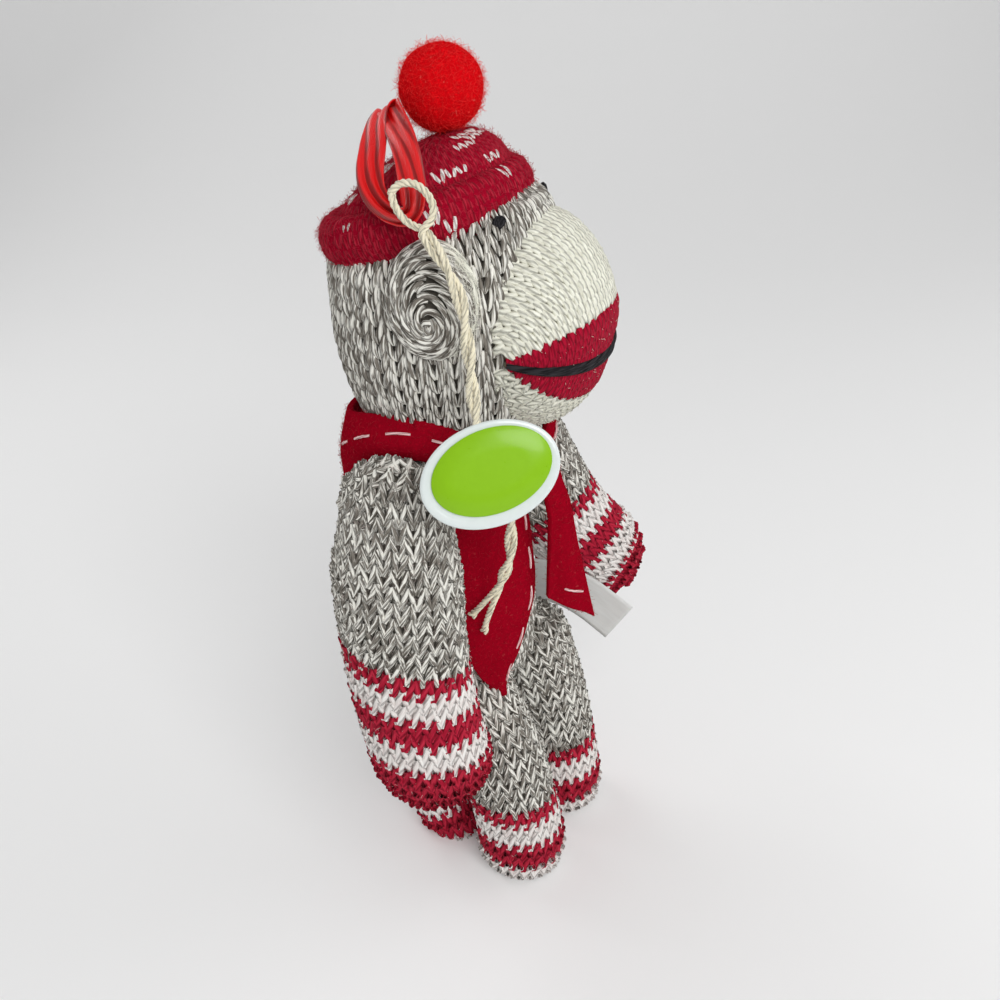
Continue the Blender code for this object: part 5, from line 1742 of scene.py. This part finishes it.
class DOLL_OT_scarf(Builder, bpy.types.Operator):
    """Cut the felt scarf: its collar, its two tails and their running stitches"""

    bl_idname = "doll.scarf"
    bl_label = "Scarf"

    def felt_mesh(self, name, rows, closed):
        cloth = finish("scarf_felt", felt_paint, felt().felt[:], (0.6, 0.1, 0.1), 2600, 0.2)
        mesh = skin_mesh(name, rows, closed=closed, caps=False, material=cloth)
        return modified(
            name, mesh, solidify={"thickness": felt().thickness, "offset": 0.0},
            bevel={"width": 0.3 * MM, "segments": 2, "limit_method": "ANGLE"})

    def fluff(self, name, mesh, body, seed):
        return fuzz(name, mesh, 1.2, felt().hair * 0.6,
                    fluff("scarf_fluff", (0.4, 0.008, 0.02)), body, "scarf_felt", seed, 1.5)

    def tail(self, which, rows, path, seed):
        """A tail of felt below the collar, with its running stitches and its fluff."""
        name = f"scarf_{which}_tail_felt"
        mesh = self.felt_mesh(name, rows, False)
        seam = Vector((0, -17, 98.5)) * MM + STANCE
        body = ("torso", which + "_scarf_tail", seam, seam - Vector((0, 0, 7.5 * MM)))
        piece = add_piece(name, mesh, body, "scarf_felt", f"scarf_{which}_tail")
        thread = running_stitches(name + "_stitches", rows, path, body,
                                  [f"{which}_tail_stitch_{i}" for i in (1, 2, 3)])
        hair = self.fluff(name + "_fluff", mesh, body, seed)
        width, long_side, area = cut_size(rows)

    def build(self, context):
        rows = collar_rows()
        wrapped = [row + [row[0]] for row in rows]
        self.collar(rows, wrapped, (
            [(0.62, (34 + i * 2) / COLLAR_SIDES) for i in range(34)],
            [(0.6, (2 + i * 1.5) / COLLAR_SIDES) for i in range(16)]))
        self.tail("long", sheet_rows(37, 17, long_tail),
                  [(i / 16, 0.86 - 0.08 * i / 16) for i in range(3, 16)], 95)
        self.tail("short", sheet_rows(29, 13, short_tail),
                  [(0.84, 0.36 + 0.62 * i / 10) for i in range(11)], 97)

    def collar(self, rows, wrapped, paths):
        mesh = self.felt_mesh("scarf_collar_felt", rows, True)
        piece = add_piece("scarf_collar_felt", mesh, "torso", "scarf_felt", "scarf_collar")
        for number, path in enumerate(paths):
            nodes = [f"collar_stitch_{i}" for i in (1, 2, 3)] if number == 0 else []
            running_stitches(f"collar_stitches_{number + 1}", wrapped, path,
                                           "torso", nodes)
        self.fluff("scarf_collar_fluff", mesh, "torso", 99)
        girth, height, area = cut_size(wrapped)


LABEL_SHARES = ((0, 0, 0), (0.65, 0.24, -0.07), (0.92, 0.49, 0.02), (0.98, 0.73, 0.36),
                (1, 1, 1))


class DOLL_OT_label(Builder, bpy.types.Operator):
    """Sew the blank care label in the side seam"""

    bl_idname = "doll.label"
    bl_label = "Care label"

    def build(self, context):
        width, height = 12 * MM, 57.6 * MM
        top = TORSO.section(height + width / 2)
        seam = Vector((top[1] + 0.55 * MM, 2 * MM, height))
        route = [seam + Vector((4.3 * out, -28.8 * ahead, -8.8 * down)) * MM + STANCE
                 for out, ahead, down in LABEL_SHARES]
        points = smooth_route(route, 0.8 * MM)
        rows = []
        for i, point in enumerate(points):
            share = i / (len(points) - 1)
            half = Vector((0, -0.65 * share, 1)).normalized() * (width / 2)
            rows.append([point + half * (j / 6 - 1)
                         + Vector((0.3 * MM * sin(pi * j / 12) * sin(pi * share), 0, 0))
                         for j in range(13)])
        total = route_length(points)
        # (0.76, 0.77, 0.76) is the painted shade of the label's long streaks.
        satin = finish("label_satin", woven_paint, trim().label[:], (0.76, 0.77, 0.76),
                       24000.0, 0.5, specular_ior_level=0.4)
        mesh = satin_strip("care_label_satin", rows, width, total, 0.25 * MM, satin)
        piece = add_piece("care_label_satin", mesh, "torso", "label_satin", "care_label")


class DOLL_PT_panel(bpy.types.Panel):
    """Lists the makers of the doll's pieces and their settings"""

    bl_idname = "DOLL_PT_panel"
    bl_label = "Knit Doll"
    bl_space_type = "VIEW_3D"
    bl_region_type = "UI"
    bl_category = "Knit Doll"

    def draw(self, context):
        for operator in OPERATORS:
            self.layout.operator(operator.bl_idname)
        for group in ("doll_yarn", "doll_felt", "doll_trim", "doll_stage"):
            settings = getattr(context.scene, group)
            box = self.layout.box()
            for name in settings.__annotations__:
                box.prop(settings, name)


SETTINGS = (("doll_yarn", YarnSettings), ("doll_felt", FeltSettings),
            ("doll_trim", TrimSettings), ("doll_stage", StageSettings))
OPERATORS = (DOLL_OT_stage, DOLL_OT_strings, DOLL_OT_ribbon, DOLL_OT_tag, DOLL_OT_torso,
             DOLL_OT_limbs, DOLL_OT_head, DOLL_OT_muzzle, DOLL_OT_face, DOLL_OT_hat,
             DOLL_OT_scarf, DOLL_OT_label)


def register():
    for name, group in SETTINGS:
        bpy.utils.register_class(group)
        setattr(bpy.types.Scene, name, bpy.props.PointerProperty(type=group))
    for item in (*OPERATORS, DOLL_PT_panel):
        bpy.utils.register_class(item)


def unregister():
    for item in (DOLL_PT_panel, *reversed(OPERATORS)):
        bpy.utils.unregister_class(item)
    for name, group in reversed(SETTINGS):
        delattr(bpy.types.Scene, name)
        bpy.utils.unregister_class(group)


def main():
    register()
    for operator in OPERATORS:
        category, name = operator.bl_idname.split(".")
        getattr(getattr(bpy.ops, category), name)()


if __name__ == "__main__":
    main()
